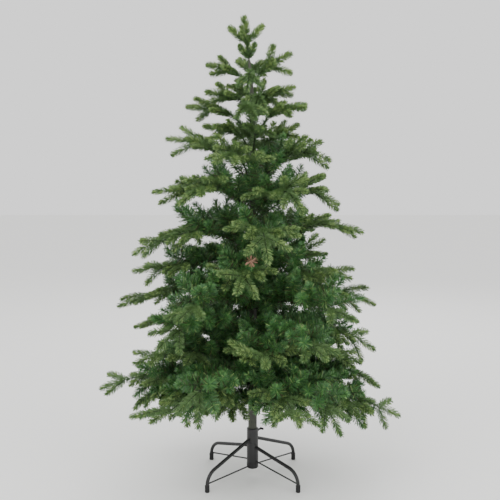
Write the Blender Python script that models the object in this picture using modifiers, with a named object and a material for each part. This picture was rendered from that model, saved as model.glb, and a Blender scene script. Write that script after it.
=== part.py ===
"""Artificial Christmas tree, 1.5 m tall, on a folding four-leg tube stand.

Units are metres and +Z is up.  The origin is on the floor at the pole's axis, and the tree's front
faces -Y.  The tree is a stepped steel pole with tiers of wire boughs round it.  Each node of foliage
is one mass: a wire stem with sprays of needles and round brushes of film fused to it, kept inside a
wedge of its own between the tiers below and above.
"""

import math
import random
from dataclasses import dataclass

import bmesh
import bpy
from mathutils import Matrix, Vector

# ------------------------------------------------------------------ driving dimensions

GAP = 0.0003                    # clearance between neighbouring pieces
SEED = 1500                     # start of every random sequence

# Pole: radius of each section and the height where it ends
POLE_FOOT = 0.0405
POLE_SECTIONS = ((0.0145, 0.600), (0.0095, 1.100), (0.0060, 1.330))
POLE_TIP_RADIUS = 0.0035
POLE_TOP = 1.362
POLE_STEP = 0.004               # length of the swaged neck between two sections
LEAN_START = 1.150              # height above which the pole leans to -X
LEAN_TOP = 1.420
LEAN = 0.0185                   # how far it has leaned at LEAN_TOP

# Stand: a core tube that holds the pole, and a sleeve that turns on it
CORE_BOTTOM = 0.027
CORE_TOP = 0.163
CORE_FLOOR = 0.040              # top of the plug that the pole stands on
COLLAR_RADIUS = 0.01875
COLLAR_BOTTOM = 0.112
NECK_RADIUS = 0.0165            # the core inside the sleeve
END_BAND_RADIUS = 0.0193
END_BAND_TOP = 0.0455
EDGE = 0.0015                   # rounding of turned edges

# Legs, struts and foot caps
FOOT_CIRCLE = 0.203             # radius of the circle through the four feet
LEG_RADIUS = 0.00575
LEG_BEND = 0.048                # radius of the bend over the foot
LEG_BEND_END = 0.022            # height where the bend has turned straight down
CAP_RADIUS = 0.0076
CAP_HEIGHT = 0.0235
CAP_FLOOR = 0.004
STRUT_RADIUS = 0.0025
STRUT_FOOT = 0.0272             # height where a strut meets its leg

# Screw that clamps the pole
SCREW_AZIMUTH = 42.0
SCREW_HEIGHT = 0.151
SCREW_RADIUS = 0.003
SCREW_LENGTH = 0.017
KNOB_RADIUS = 0.0037
KNOB_HALF = 0.0085
BOSS_REACH = 0.0245             # from the pole's axis to the face of the screw's boss
BOSS_WIDTH = 0.012
BOSS_DROP = 0.024               # height over which the boss runs out to the collar

LEGS = (                        # name, azimuth, height at the hub, height of the strut there
    ("front_left", -135.0, 0.124, 0.036),
    ("front_right", -45.0, 0.099, 0.052),
    ("back_right", 45.0, 0.124, 0.036),
    ("back_left", 135.0, 0.099, 0.052),
)

# Boughs
STEM_RADIUS = 0.0030
STEM_TAPER = 0.7                # radius at a stem's tip, in parts of its root
STEM_PIECE = 0.100              # length of the straight pieces that a bent stem is made of
ROD_CORNER = math.sin(math.radians(60))     # height of a three-sided rod's corner over its axis
LIMB_ROOT_RADIUS = 0.0040
LIMB_TIP_RADIUS = 0.0028
LIMB_END = 0.085                # radius from the axis where a lowest bough enters its mass
WRAPPED_RADIUS = 0.0050         # a small bough's stem with the film wound round it
SMALL_REACH = 0.20              # boughs that reach less than this are small
TWIST = 0.16                    # turn of a mass's two boughs each way, in parts of its wedge
RISER_RADIUS = 0.0022
RISER_REACH = 0.024             # radius from the axis of the bar between two boughs of a mass

# Sprays and brushes; angles are in degrees, and pairs of numbers are ranges
SINK = 1.5                      # depth of a root behind its stem's axis, in stem radii
SPRAY_LONGEST = 0.095
SPRAY_SHORTEST = 0.050
SPRAY_GROWTH = 0.18             # length a spray gains with its bough's reach
FAN_RIM = 12                    # points round a fan of three sprays
FAN_THICK = 0.024
FAN_ROLL = 14.0
FINGER_WIDTH = 0.022
PAIR_STATION = (0.58, 0.68)     # where the side pair leaves the bough, in parts of its length
PAIR_SWING = (44.0, 54.0)
PAIR_RISE = (-12.0, 6.0)
PAIR_ROLL = 25.0
PAIR_EASES = (1.0, 0.8, 0.6, 0.4, 0.2)      # shares of those angles that are tried in turn
PAIR_LIFT = 10.0                # extra rise as a side spray is eased in
FAN_STALK = 0.55                # a side fan's stalk, in parts of the end spray
FAN_SHARE = 0.86
FINGER_SHARE = 0.90
BRUSH_WIDTH = 0.082
BRUSH_LENGTH = (0.110, 0.140)
BRUSH_SPACING = 0.130
BRUSH_OUTER = 0.52              # outermost and innermost brush, in parts of the bough
BRUSH_INNER = 0.10
BRUSH_SWING = (30.0, 50.0)
BRUSH_RISE = (36.0, 58.0)
BRUSH_LOWERING = 13.0           # how much lower each new try is
BRUSH_TRIES = 5

# Leader
LEADER_SPRAY = 0.078
LEADER_RING = 4                 # short sprays round the foot of the leader
LEADER_RING_PLACE = 0.30        # their place on its rod, and their length in parts of its spray
LEADER_RING_SHARE = 0.62
LEADER_RING_SWING = (32.0, 44.0)
LEADER_CROSS_DROP = 0.15        # how far the crossing fan stands lower, in parts of the rod
LEADER_CROSS_SHARE = 0.8

# Spaces
SPACE_MARGIN = 0.0020           # how far foliage stays inside its space
CROWN_BOTTOM = 0.165            # lowest needle
LEADER_FOOT = 0.035             # radius of the leader's space at the pole's top
LEADER_SPREAD = 0.9             # how much wider that space gets with height


@dataclass(frozen=True)
class Tier:
    """One ring of boughs; the tip is the end of a bough's last spray."""

    root: float                 # height where the boughs leave the pole
    reach: float                # radius of the tips
    skew: float                 # change of the reach towards +X
    tip: float                  # height of the tips
    tilt: float                 # change of the tip height towards +X
    droop: float                # angle of the boughs' ends above level, degrees
    lift: float = 0.0           # how much higher the tips are in front and behind


@dataclass(frozen=True)
class Level:
    """Masses that share a set of wedges; each holds one bough of every tier."""

    wedges: int
    phase: float                # azimuth of the first wedge, degrees
    tiers: tuple
    share: float                # part of the room up to the next level that is this one's


LEVELS = (
    Level(6, -3.0, (Tier(0.250, 0.458, 0.040, 0.224, -0.004, -24.0, 0.075),
                    Tier(0.310, 0.466, -0.040, 0.322, 0.005, -13.0, 0.055)), 0.60),
    Level(5, 0.0, (Tier(0.390, 0.384, -0.022, 0.409, -0.005, -10.0, 0.040),
                   Tier(0.475, 0.418, 0.006, 0.502, -0.026, -12.0)), 0.62),
    Level(5, 180.0, (Tier(0.565, 0.432, -0.008, 0.597, -0.013, -10.0),
                     Tier(0.655, 0.358, -0.024, 0.690, -0.014, -9.0)), 0.58),
    Level(5, 0.0, (Tier(0.750, 0.372, -0.022, 0.780, 0.028, -26.0),
                   Tier(0.865, 0.310, -0.016, 0.926, -0.010, -16.0)), 0.62),
    Level(4, -6.0, (Tier(0.985, 0.268, -0.006, 1.098, -0.017, -4.0),
                    Tier(1.070, 0.156, 0.004, 1.142, -0.012, 5.0)), 0.60),
    Level(4, 4.0, (Tier(1.140, 0.190, -0.018, 1.222, 0.004, 0.0),
                   Tier(1.215, 0.140, -0.010, 1.280, 0.009, 8.0)), 0.60),
    Level(4, -4.0, (Tier(1.290, 0.128, -0.007, 1.362, 0.006, 15.0),), 0.50),
)

# ------------------------------------------------------------------ scene, materials, meshes


def clear_scene():
    """Remove what the file starts with."""
    for item in list(bpy.data.objects):
        bpy.data.objects.remove(item, do_unlink=True)


def add_collection(name):
    """Make a collection in the scene."""
    collection = bpy.data.collections.new(name)
    bpy.context.scene.collection.children.link(collection)
    return collection


def add_material(name, colour, roughness, metallic=0.0):
    """Make a material with one Principled BSDF."""
    material = bpy.data.materials.new(name)
    material.use_nodes = True
    shader = material.node_tree.nodes["Principled BSDF"]
    shader.inputs["Base Color"].default_value = (*colour, 1.0)
    shader.inputs["Roughness"].default_value = roughness
    shader.inputs["Metallic"].default_value = metallic
    material.diffuse_color = (*colour, 1.0)
    return material


def add_object(name, data, material, collection):
    """Link an object with one material."""
    data.materials.append(material)
    item = bpy.data.objects.new(name, data)
    collection.objects.link(item)
    return item


def add_mesh(name, bm, material, collection):
    """Turn a bmesh into an object."""
    mesh = bpy.data.meshes.new(name)
    bmesh.ops.recalc_face_normals(bm, faces=bm.faces)
    bm.to_mesh(mesh)
    bm.free()
    return add_object(name, mesh, material, collection)


def add_turned(name, profile, material, collection, segments, closed=False):
    """Turn a profile of (radius, height) points round Z with a Screw modifier."""
    mesh = bpy.data.meshes.new(name)
    edges = [(i, i + 1) for i in range(len(profile) - 1)]
    if closed:
        edges.append((len(profile) - 1, 0))
    mesh.from_pydata([(radius, 0.0, height) for radius, height in profile], edges, [])
    item = add_object(name, mesh, material, collection)
    screw = item.modifiers.new("turn", "SCREW")
    screw.steps = segments
    screw.render_steps = segments
    screw.use_merge_vertices = True
    screw.merge_threshold = 0.00001
    screw.use_smooth_shade = False
    return item


def add_tube(name, points, radii, material, collection, resolution):
    """Run a round bar with filled ends through points; radii follow the points."""
    curve = bpy.data.curves.new(name, "CURVE")
    curve.dimensions = "3D"
    curve.bevel_depth = 1.0
    curve.bevel_resolution = resolution
    curve.use_fill_caps = True
    spline = curve.splines.new("POLY")
    spline.points.add(len(points) - 1)
    for point, place, radius in zip(spline.points, points, radii):
        point.co = (*place, 1.0)
        point.radius = radius
    return add_object(name, curve, material, collection)


def rounded(radius, height, inward, upward):
    """Two points that cut an edge at (radius, height), towards the axis and up or down."""
    return [(radius - EDGE * inward, height), (radius, height + EDGE * upward)]


# ------------------------------------------------------------------ pole and stand


def lean(height):
    """How far the pole's axis stands from X = 0 at a height."""
    rise = max(0.0, height - LEAN_START) / (LEAN_TOP - LEAN_START)
    return -LEAN * rise * rise


def pole_radius(height):
    """Radius of the pole's section at a height."""
    for radius, top in POLE_SECTIONS:
        if height <= top:
            return radius
    return POLE_SECTIONS[-1][0]


def build_pole(material, collection):
    """The stepped pole, from its flat foot in the stand to the leader."""
    stations = [(POLE_FOOT, POLE_SECTIONS[0][0])]
    for (radius, top), (next_radius, _) in zip(POLE_SECTIONS, POLE_SECTIONS[1:]):
        stations += [(top, radius), (top + POLE_STEP, next_radius)]
    last_radius, last_top = POLE_SECTIONS[-1]
    leaning = 4
    for step in range(1, leaning):
        height = LEAN_START + (last_top - LEAN_START) * step / leaning
        stations.append((height, last_radius))
    stations += [(last_top, last_radius), (POLE_TOP, POLE_TIP_RADIUS)]
    points = [(lean(height), 0.0, height) for height, _ in stations]
    radii = [radius for _, radius in stations]
    add_tube("pole", points, radii, material, collection, 6)


def build_stand_core(material, collection, cutters):
    """Collar, neck and end band in one piece, bored for the pole, with the screw's boss."""
    bore = POLE_SECTIONS[0][0] + GAP
    profile = [(bore, CORE_FLOOR), (bore, CORE_TOP)]
    profile += rounded(COLLAR_RADIUS, CORE_TOP, 1, -1)
    profile += [(COLLAR_RADIUS, COLLAR_BOTTOM), (NECK_RADIUS, COLLAR_BOTTOM)]
    profile += [(NECK_RADIUS, END_BAND_TOP)]
    profile += rounded(END_BAND_RADIUS, END_BAND_TOP, 1, -1)
    profile += [(END_BAND_RADIUS, CORE_BOTTOM + 3 * EDGE), (END_BAND_RADIUS - 2 * EDGE, CORE_BOTTOM)]
    profile = [(0.0, CORE_FLOOR)] + profile + [(0.0, CORE_BOTTOM)]
    core = add_turned("stand_core", profile, material, collection, 24)

    bm = bmesh.new()
    bmesh.ops.create_cube(bm, size=1.0)
    inner = (bore + COLLAR_RADIUS) / 2
    top = SCREW_HEIGHT + SCREW_RADIUS + 2 * EDGE
    for vertex in bm.verts:
        outside = vertex.co.x > 0
        above = vertex.co.z > 0
        reach = BOSS_REACH if outside and above else COLLAR_RADIUS + EDGE
        vertex.co.x = reach if outside else inner
        vertex.co.y *= BOSS_WIDTH
        vertex.co.z = top if above else top - BOSS_DROP
    bmesh.ops.bisect_plane(bm, geom=bm.verts[:] + bm.edges[:] + bm.faces[:],
                           plane_co=(0, 0, SCREW_HEIGHT - SCREW_RADIUS - 2 * EDGE),
                           plane_no=(0, 0, 1))
    for vertex in bm.verts:
        middle = top - BOSS_DROP < vertex.co.z < top
        if middle and vertex.co.x > COLLAR_RADIUS:
            vertex.co.x = BOSS_REACH
    bmesh.ops.rotate(bm, verts=bm.verts, matrix=Matrix.Rotation(math.radians(SCREW_AZIMUTH), 3, "Z"))
    boss = add_mesh("boss", bm, material, cutters)
    boss.hide_render = True
    boss.display_type = "WIRE"
    union = core.modifiers.new("boss", "BOOLEAN")
    union.operation = "UNION"
    union.object = boss


def build_stand_sleeve(material, collection):
    """The sleeve that carries the second pair of legs."""
    inner = NECK_RADIUS + GAP
    top = COLLAR_BOTTOM - GAP
    bottom = END_BAND_TOP + GAP
    profile = rounded(COLLAR_RADIUS, top, 1, -1)
    profile += rounded(COLLAR_RADIUS, bottom, 1, 1)[::-1]
    profile += [(inner, bottom), (inner, top)]
    add_turned("stand_sleeve", profile, material, collection, 24, closed=True)


def leg_path(hub_height):
    """Points of a leg in its own upright plane: straight out, round the bend, down."""
    start = Vector((COLLAR_RADIUS + GAP, hub_height))
    centre = Vector((FOOT_CIRCLE - LEG_BEND, LEG_BEND_END))
    to_centre = centre - start
    slope = math.atan2(to_centre.y, to_centre.x) + math.asin(LEG_BEND / to_centre.length)
    start.x += LEG_RADIUS * abs(math.sin(slope))
    turns = 6
    path = [start]
    for step in range(turns + 1):
        angle = (math.pi / 2 + slope) * (1 - step / turns)
        path.append(centre + LEG_BEND * Vector((math.cos(angle), math.sin(angle))))
    path.append(Vector((FOOT_CIRCLE, CAP_FLOOR + GAP)))
    return path


def in_plane(path, azimuth):
    """Turn (radius, height) points into places at an azimuth."""
    turn = math.radians(azimuth)
    return [(p[0] * math.cos(turn), p[0] * math.sin(turn), p[1]) for p in path]


def build_leg(name, azimuth, hub_height, strut_height, paint, rubber, collection):
    """One leg with its foot cap and its strut."""
    path = leg_path(hub_height)
    add_tube(f"leg_{name}", in_plane(path, azimuth), [LEG_RADIUS] * len(path), paint, collection, 2)

    hub_radius = END_BAND_RADIUS if strut_height < END_BAND_TOP else COLLAR_RADIUS
    over = STRUT_FOOT + STRUT_RADIUS - LEG_BEND_END
    inner_bend = math.sqrt((LEG_BEND - LEG_RADIUS) ** 2 - over ** 2)
    run = [(hub_radius + GAP, strut_height), (FOOT_CIRCLE - LEG_BEND + inner_bend - 2 * GAP, STRUT_FOOT)]
    add_tube(f"strut_{name}", in_plane(run, azimuth), [STRUT_RADIUS] * 2, paint, collection, 2)

    bore = LEG_RADIUS + GAP
    profile = [(0.0, CAP_FLOOR), (bore, CAP_FLOOR), (bore, CAP_HEIGHT)]
    profile += [(CAP_RADIUS, CAP_HEIGHT), (CAP_RADIUS, 1.6 * EDGE)]
    profile += [(CAP_RADIUS - 1.6 * EDGE, 0.0), (0.0, 0.0)]
    cap = add_turned(f"foot_cap_{name}", profile, rubber, collection, 12)
    cap.location = in_plane([(FOOT_CIRCLE, 0.0)], azimuth)[0]


def build_screw(material, collection, cutters):
    """The clamping screw: a shank and a crossbar to turn it by."""
    shank = [(0.0, 0.0), (SCREW_RADIUS, 0.0), (SCREW_RADIUS, SCREW_LENGTH), (0.0, SCREW_LENGTH)]
    screw = add_turned("stand_screw", shank[::-1], material, collection, 12)
    turn = Matrix.Rotation(math.radians(SCREW_AZIMUTH), 4, "Z")
    aim = turn @ Matrix.Rotation(math.pi / 2, 4, "Y")
    foot = turn @ Vector((BOSS_REACH + GAP, 0.0, SCREW_HEIGHT))
    screw.matrix_world = Matrix.Translation(foot) @ aim

    steps = 3
    dome = [math.pi / 2 * step / steps for step in range(steps + 1)]
    straight = KNOB_HALF - KNOB_RADIUS
    upper = [(KNOB_RADIUS * math.sin(a), straight + KNOB_RADIUS * math.cos(a)) for a in dome]
    bar = upper + [(radius, -height) for radius, height in upper[::-1]]
    knob = add_turned("crossbar", bar, material, cutters, 12)
    head = turn @ Vector((BOSS_REACH + GAP + SCREW_LENGTH, 0.0, SCREW_HEIGHT))
    knob.matrix_world = Matrix.Translation(head) @ turn @ Matrix.Rotation(math.pi / 2, 4, "X")
    knob.hide_render = True
    knob.display_type = "WIRE"
    union = screw.modifiers.new("crossbar", "BOOLEAN")
    union.operation = "UNION"
    union.object = knob


# ------------------------------------------------------------------ boughs and their spaces


class Bough:
    """A limb that leaves the pole and bends evenly from its rise to its droop."""

    def __init__(self, tier, azimuth):
        self.azimuth = azimuth
        east = math.cos(azimuth)
        reach = tier.reach + tier.skew * east * abs(east)
        tip = tier.tip + tier.tilt * east + tier.lift * math.sin(azimuth) ** 2
        self.spray = min(SPRAY_LONGEST, SPRAY_SHORTEST + SPRAY_GROWTH * tier.reach)
        self.bend_end = math.radians(tier.droop)
        end = Vector((reach - self.spray * math.cos(self.bend_end),
                      tip - self.spray * math.sin(self.bend_end)))
        self.stem_radius = STEM_RADIUS if tier.reach > SMALL_REACH else WRAPPED_RADIUS
        self.start = Vector((pole_radius(tier.root) + GAP, tier.root))
        chord = end - self.start
        self.bend_start = 2 * math.atan2(chord.y, chord.x) - self.bend_end
        self.start.x += ROD_CORNER * self.stem_radius * math.sin(self.bend_start)
        half = (self.bend_end - self.bend_start) / 2
        self.length = chord.length * half / math.sin(half)
        self.curvature = 2 * half / self.length
        self.stem_start = 0.0

    def angle(self, station):
        """Angle above level at a distance along the limb."""
        return self.bend_start + self.curvature * min(station, self.length)

    def profile(self, station):
        """Radius and height at a distance along the limb."""
        angle = self.angle(station)
        radius = self.start.x + (math.sin(angle) - math.sin(self.bend_start)) / self.curvature
        height = self.start.y + (math.cos(self.bend_start) - math.cos(angle)) / self.curvature
        beyond = max(0.0, station - self.length)
        return radius + beyond * math.cos(angle), height + beyond * math.sin(angle)

    def height_over(self, radius):
        """Height of the limb, carried straight on past its ends, at a radius."""
        sine = math.sin(self.bend_start) + self.curvature * max(0.0, radius - self.start.x)
        if sine <= math.sin(self.bend_end):
            end_radius, end_height = self.profile(self.length)
            return end_height + (radius - end_radius) * math.tan(self.bend_end)
        cosine = math.sqrt(1 - sine * sine)
        return self.start.y + (math.cos(self.bend_start) - cosine) / self.curvature

    def station_at(self, radius):
        """Distance along the limb where it reaches a radius."""
        sine = math.sin(self.bend_start) + self.curvature * (radius - self.start.x)
        return (math.asin(sine) - self.bend_start) / self.curvature

    def frame(self, station):
        """Place on the limb, with X along it, Y level and Z up from it."""
        radius, height = self.profile(station)
        axis = Matrix.Translation((lean(self.start.y), 0.0, 0.0))
        turn = Matrix.Rotation(self.azimuth, 4, "Z")
        tip_up = Matrix.Rotation(-self.angle(station), 4, "Y")
        return axis @ turn @ Matrix.Translation((radius, 0.0, height)) @ tip_up

    def joints(self):
        """Stations of the joints between the straight pieces of the stem."""
        run = self.length - self.stem_start
        pieces = max(3, round(run / STEM_PIECE))
        return [self.stem_start + run * joint / pieces for joint in range(pieces + 1)]

    def on_stem(self, station):
        """The frame at a station, moved from the even bend onto the stem's straight piece."""
        joints = self.joints()
        last = next((i for i in range(1, len(joints)) if joints[i] >= station), len(joints) - 1)
        share = (station - joints[last - 1]) / (joints[last] - joints[last - 1])
        ends = [self.frame(joint).translation for joint in joints[last - 1:last + 1]]
        frame = self.frame(station)
        frame.translation = ends[0].lerp(ends[1], share)
        return frame


def level_height(tier, azimuth, radius):
    """Height of a tier's boughs at any azimuth and radius."""
    return Bough(tier, azimuth).height_over(radius)


class Space:
    """The wedge that one mass keeps to."""

    def __init__(self, number, azimuth):
        self.number = number
        self.azimuth = azimuth
        self.half = math.pi / LEVELS[number].wedges

    def ceiling(self, number, azimuth, radius):
        """Height of the boundary over a level."""
        level = LEVELS[number]
        if number + 1 == len(LEVELS):
            return POLE_TOP + max(0.0, radius - LEADER_FOOT) / LEADER_SPREAD
        below = level_height(level.tiers[-1], azimuth, radius)
        above = level_height(LEVELS[number + 1].tiers[0], azimuth, radius)
        return below + level.share * (above - below)

    def holds(self, point):
        """Whether a point is inside, clear of the walls and of the pole."""
        across = point.x - lean(point.z)
        radius = math.hypot(across, point.y)
        azimuth = math.atan2(point.y, across)
        off = abs(math.remainder(azimuth - self.azimuth, 2 * math.pi))
        if off > self.half or radius * math.sin(self.half - off) < SPACE_MARGIN:
            return False
        if radius < pole_radius(point.z - SPACE_MARGIN) + SPACE_MARGIN:
            return False
        if point.z > self.ceiling(self.number, azimuth, radius) - SPACE_MARGIN:
            return False
        if self.number == 0:
            return point.z > CROWN_BOTTOM
        return point.z > self.ceiling(self.number - 1, azimuth, radius) + SPACE_MARGIN


class LeaderSpace:
    """The widening space over the pole's top."""

    def holds(self, point):
        """Whether a point is inside it."""
        radius = math.hypot(point.x - lean(point.z), point.y)
        height = point.z - POLE_TOP - SPACE_MARGIN
        return height > 0 and radius < LEADER_FOOT + LEADER_SPREAD * height - SPACE_MARGIN


# ------------------------------------------------------------------ shapes of foliage


def fan_shape(stalk, length):
    """A flat toothed blade along +X: three fingers of needles that part at the end of a stalk."""
    centre, inner_tooth, valley = (0, 1.0), (12, 0.66), (20, 0.36)
    side_tooth, side_tip, outer_tooth = (28, 0.62), (40, 0.93), (55, 0.58)
    rim = (centre, inner_tooth, valley, side_tooth, side_tip, outer_tooth, (180, stalk / length))
    bm = bmesh.new()
    bmesh.ops.create_uvsphere(bm, u_segments=FAN_RIM, v_segments=2, radius=1.0)
    for vertex in bm.verts:
        if abs(vertex.co.z) > 0.5:
            vertex.co = Vector((stalk, 0.0, math.copysign(FAN_THICK / 2, vertex.co.z)))
            continue
        place = round(math.atan2(vertex.co.y, vertex.co.x) / (2 * math.pi / FAN_RIM))
        turn, reach = rim[abs(place)]
        turn = math.radians(turn)
        aside = math.copysign(length * reach * math.sin(turn), place)
        vertex.co = Vector((stalk + length * reach * math.cos(turn), aside, 0.0))
    return bm


def brush_shape(length, width):
    """A slim core along +X that rows of film stand out of."""
    bm = bmesh.new()
    bmesh.ops.create_uvsphere(bm, u_segments=4, v_segments=3, radius=1.0)
    for vertex in bm.verts:
        height = vertex.co.z
        around = math.atan2(vertex.co.y, vertex.co.x)
        if abs(height) > 0.9:
            vertex.co = Vector((length if height > 0 else 0.0, 0.0, 0.0))
            continue
        row = round(math.degrees(around) / 90)
        stands_out = (row + (height > 0)) % 2 == 0
        radius = width / 2 * (1.0 if stands_out else 0.55)
        along = length * ((0.80 if height > 0 else 0.40) + (0.06 if stands_out else 0.0))
        vertex.co = Vector((along, radius * math.cos(around), radius * math.sin(around)))
    bmesh.ops.triangulate(bm, faces=bm.faces)
    return bm


def rod_shape(length, root_radius, tip_radius, pieces):
    """A straight three-sided rod along +X, cut across into equal pieces."""
    bm = bmesh.new()
    bmesh.ops.create_cone(bm, cap_ends=True, segments=3, radius1=root_radius, radius2=tip_radius,
                          depth=length, matrix=Matrix.Translation((0, 0, length / 2)))
    bmesh.ops.rotate(bm, verts=bm.verts, matrix=Matrix.Rotation(math.pi / 2, 3, "Y"))
    for cut in range(1, pieces):
        bmesh.ops.bisect_plane(bm, geom=bm.verts[:] + bm.edges[:] + bm.faces[:],
                               plane_co=(length * cut / pieces, 0, 0), plane_no=(1, 0, 0))
    return bm


def aimed(origin, direction, roll):
    """A frame at origin with X along a direction and Y level before the roll."""
    along = direction.normalized()
    level = Vector((0, 0, 1)).cross(along).normalized()
    turn = Matrix((along, level, along.cross(level))).transposed().to_4x4()
    return Matrix.Translation(origin) @ turn @ Matrix.Rotation(roll, 4, "X")


def heading(frame, swing, rise):
    """Direction that swings aside and rises from a frame's X axis, in degrees."""
    turn = Matrix.Rotation(math.radians(swing), 3, "Z") @ Matrix.Rotation(-math.radians(rise), 3, "Y")
    return frame.to_3x3() @ (turn @ Vector((1, 0, 0)))


class Mass:
    """One node of foliage: shapes that are fused into a single closed body."""

    def __init__(self, name, space, material):
        self.name = name
        self.space = space
        self.material = material
        self.parts = bpy.data.collections.new(f"{name}_parts")
        self.base = None
        self.limb = None            # a bough in a node of its own that foliage stays off

    def clear_of_limb(self, point):
        """Whether a point stays off the bough that carries this mass."""
        if self.limb is None:
            return True
        radius = math.hypot(point.x, point.y)
        if radius > LIMB_END + LIMB_ROOT_RADIUS:
            return True
        over = point.z - self.limb.height_over(radius)
        turn = math.remainder(math.atan2(point.y, point.x) - self.limb.azimuth, 2 * math.pi)
        return math.hypot(over, radius * math.sin(turn)) > LIMB_ROOT_RADIUS + SPACE_MARGIN

    def add(self, bm, matrix=None, required=False):
        """Take a shape in, unless it would leave the space or touch the limb."""
        if matrix is not None:
            bmesh.ops.transform(bm, matrix=matrix, verts=bm.verts)
        points = [vertex.co for vertex in bm.verts]
        points += [(edge.verts[0].co + edge.verts[1].co) / 2 for edge in bm.edges]
        inside = all(self.space.holds(point) and self.clear_of_limb(point) for point in points)
        if not (inside or required):
            bm.free()
            return False
        item = add_mesh(f"{self.name}_part", bm, self.material, self.parts)
        if self.base is None:
            self.parts.objects.unlink(item)
            self.base = item
        return True

    def add_fan(self, frame, swing, rise, stalk, length, roll=0.0):
        """Three sprays of needles on a stalk that leaves a stem at a frame, its root sunk in it."""
        turn = Matrix.Rotation(math.radians(swing), 4, "Z") @ Matrix.Rotation(-math.radians(rise), 4, "Y")
        depth = SINK * STEM_RADIUS
        sunk = Matrix.Translation((-depth, 0.0, 0.0))
        matrix = frame @ turn @ sunk @ Matrix.Rotation(math.radians(roll), 4, "X")
        return self.add(fan_shape(stalk + depth, length), matrix)

    def add_brush(self, frame, swing, rise, length, roll=0.0, width=BRUSH_WIDTH):
        """A round brush that leaves a stem at a frame, its root sunk in the stem."""
        direction = heading(frame, swing, rise)
        origin = frame.translation - direction * SINK * STEM_RADIUS
        return self.add(brush_shape(length, width), aimed(origin, direction, math.radians(roll)))

    def add_stem(self, bough):
        """The wire of a bough, bent along it."""
        run = bough.length - bough.stem_start
        pieces = len(bough.joints()) - 1
        bm = rod_shape(run, bough.stem_radius, bough.stem_radius * STEM_TAPER, pieces)
        for vertex in bm.verts:
            frame = bough.frame(bough.stem_start + vertex.co.x)
            vertex.co = frame @ Vector((0.0, vertex.co.y, vertex.co.z))
        bmesh.ops.triangulate(bm, faces=bm.faces)
        self.add(bm, required=True)

    def fuse(self, collection):
        """Join all shapes by one Boolean union and keep the body that holds the stem."""
        union = self.base.modifiers.new("fuse", "BOOLEAN")
        union.operation = "UNION"
        union.operand_type = "COLLECTION"
        union.collection = self.parts
        union.solver = "EXACT"
        bpy.context.scene.collection.objects.link(self.base)
        bpy.context.view_layer.update()
        evaluated = self.base.evaluated_get(bpy.context.evaluated_depsgraph_get())
        mesh = bpy.data.meshes.new_from_object(evaluated)
        for item in list(self.parts.objects) + [self.base]:
            bpy.data.objects.remove(item, do_unlink=True)
        bpy.data.collections.remove(self.parts)
        keep_largest_body(mesh)
        mesh.name = self.name
        mesh.materials.clear()
        return add_object(self.name, mesh, self.material, collection)


def keep_largest_body(mesh):
    """Drop loose scraps and sealed hollows that a union leaves."""
    bm = bmesh.new()
    bm.from_mesh(mesh)
    left = set(bm.faces)
    bodies = []
    while left:
        body = []
        front = [left.pop()]
        while front:
            face = front.pop()
            body.append(face)
            shared = [edge for edge in face.edges if len(edge.link_faces) == 2]
            neighbours = {other for edge in shared for other in edge.link_faces} & left
            left -= neighbours
            front += neighbours
        bodies.append(body)
    bodies.sort(key=len)
    scraps = [face for body in bodies[:-1] for face in body]
    bmesh.ops.delete(bm, geom=scraps, context="FACES")
    bm.to_mesh(mesh)
    bm.free()


# ------------------------------------------------------------------ rule of growth


def grow_pair(mass, frame, rng, add_shape):
    """A shape on each side of a stem, eased in towards it until it fits the space."""
    for side in (-1, 1):
        swing = side * rng.uniform(*PAIR_SWING)
        rise = rng.uniform(*PAIR_RISE)
        roll = side * rng.uniform(0, PAIR_ROLL)
        for ease in PAIR_EASES:
            if add_shape(frame, swing * ease, rise * ease + PAIR_LIFT * (1 - ease), roll * ease):
                break


def grow_brushes(mass, bough, rng):
    """Brushes that stand up on alternate sides of a bough's inner part."""
    outer = bough.length * BRUSH_OUTER
    inner = max(bough.length * BRUSH_INNER, bough.stem_start + 5 * STEM_RADIUS)
    brushes = round(bough.length / BRUSH_SPACING)
    for number in range(brushes):
        frame = bough.on_stem(outer + (inner - outer) * number / max(1, brushes - 1))
        swing = (1 if number % 2 else -1) * rng.uniform(*BRUSH_SWING)
        rise = rng.uniform(*BRUSH_RISE)
        length = rng.uniform(*BRUSH_LENGTH)
        roll = rng.uniform(0, 90)
        for attempt in range(BRUSH_TRIES):
            if mass.add_brush(frame, swing, rise - BRUSH_LOWERING * attempt, length, roll):
                break


def grow_bough(mass, bough, rng):
    """A fan at the end, a pair of sprays behind it, and brushes over the inner part."""
    end = bough.frame(bough.length)
    roll = rng.uniform(-FAN_ROLL, FAN_ROLL)
    mass.add_fan(end, 0.0, 0.0, 0.0, bough.spray, roll)

    def fan(frame, swing, rise, roll):
        stalk = bough.spray * FAN_STALK
        return mass.add_fan(frame, swing, rise, stalk, bough.spray * FAN_SHARE, roll)

    def finger(frame, swing, rise, roll):
        return mass.add_brush(frame, swing, rise, bough.spray * FINGER_SHARE, roll, FINGER_WIDTH)

    behind = bough.on_stem(bough.length * rng.uniform(*PAIR_STATION))
    if bough.stem_radius == STEM_RADIUS:
        grow_pair(mass, behind, rng, fan)
        grow_brushes(mass, bough, rng)
    else:
        grow_pair(mass, behind, rng, finger)


def build_bough_limb(name, bough, material, collection):
    """The bare inner part of a lowest bough, tapering to where it enters its mass."""
    steps = 4
    root = LIMB_ROOT_RADIUS * math.tan(bough.bend_start)
    reach = bough.station_at(LIMB_END)
    places = [bough.frame(root + (reach - root) * step / steps).translation for step in range(steps + 1)]
    radii = [LIMB_ROOT_RADIUS + (LIMB_TIP_RADIUS - LIMB_ROOT_RADIUS) * step / steps
             for step in range(steps + 1)]
    add_tube(name, places, radii, material, collection, 2)
    return reach


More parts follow.
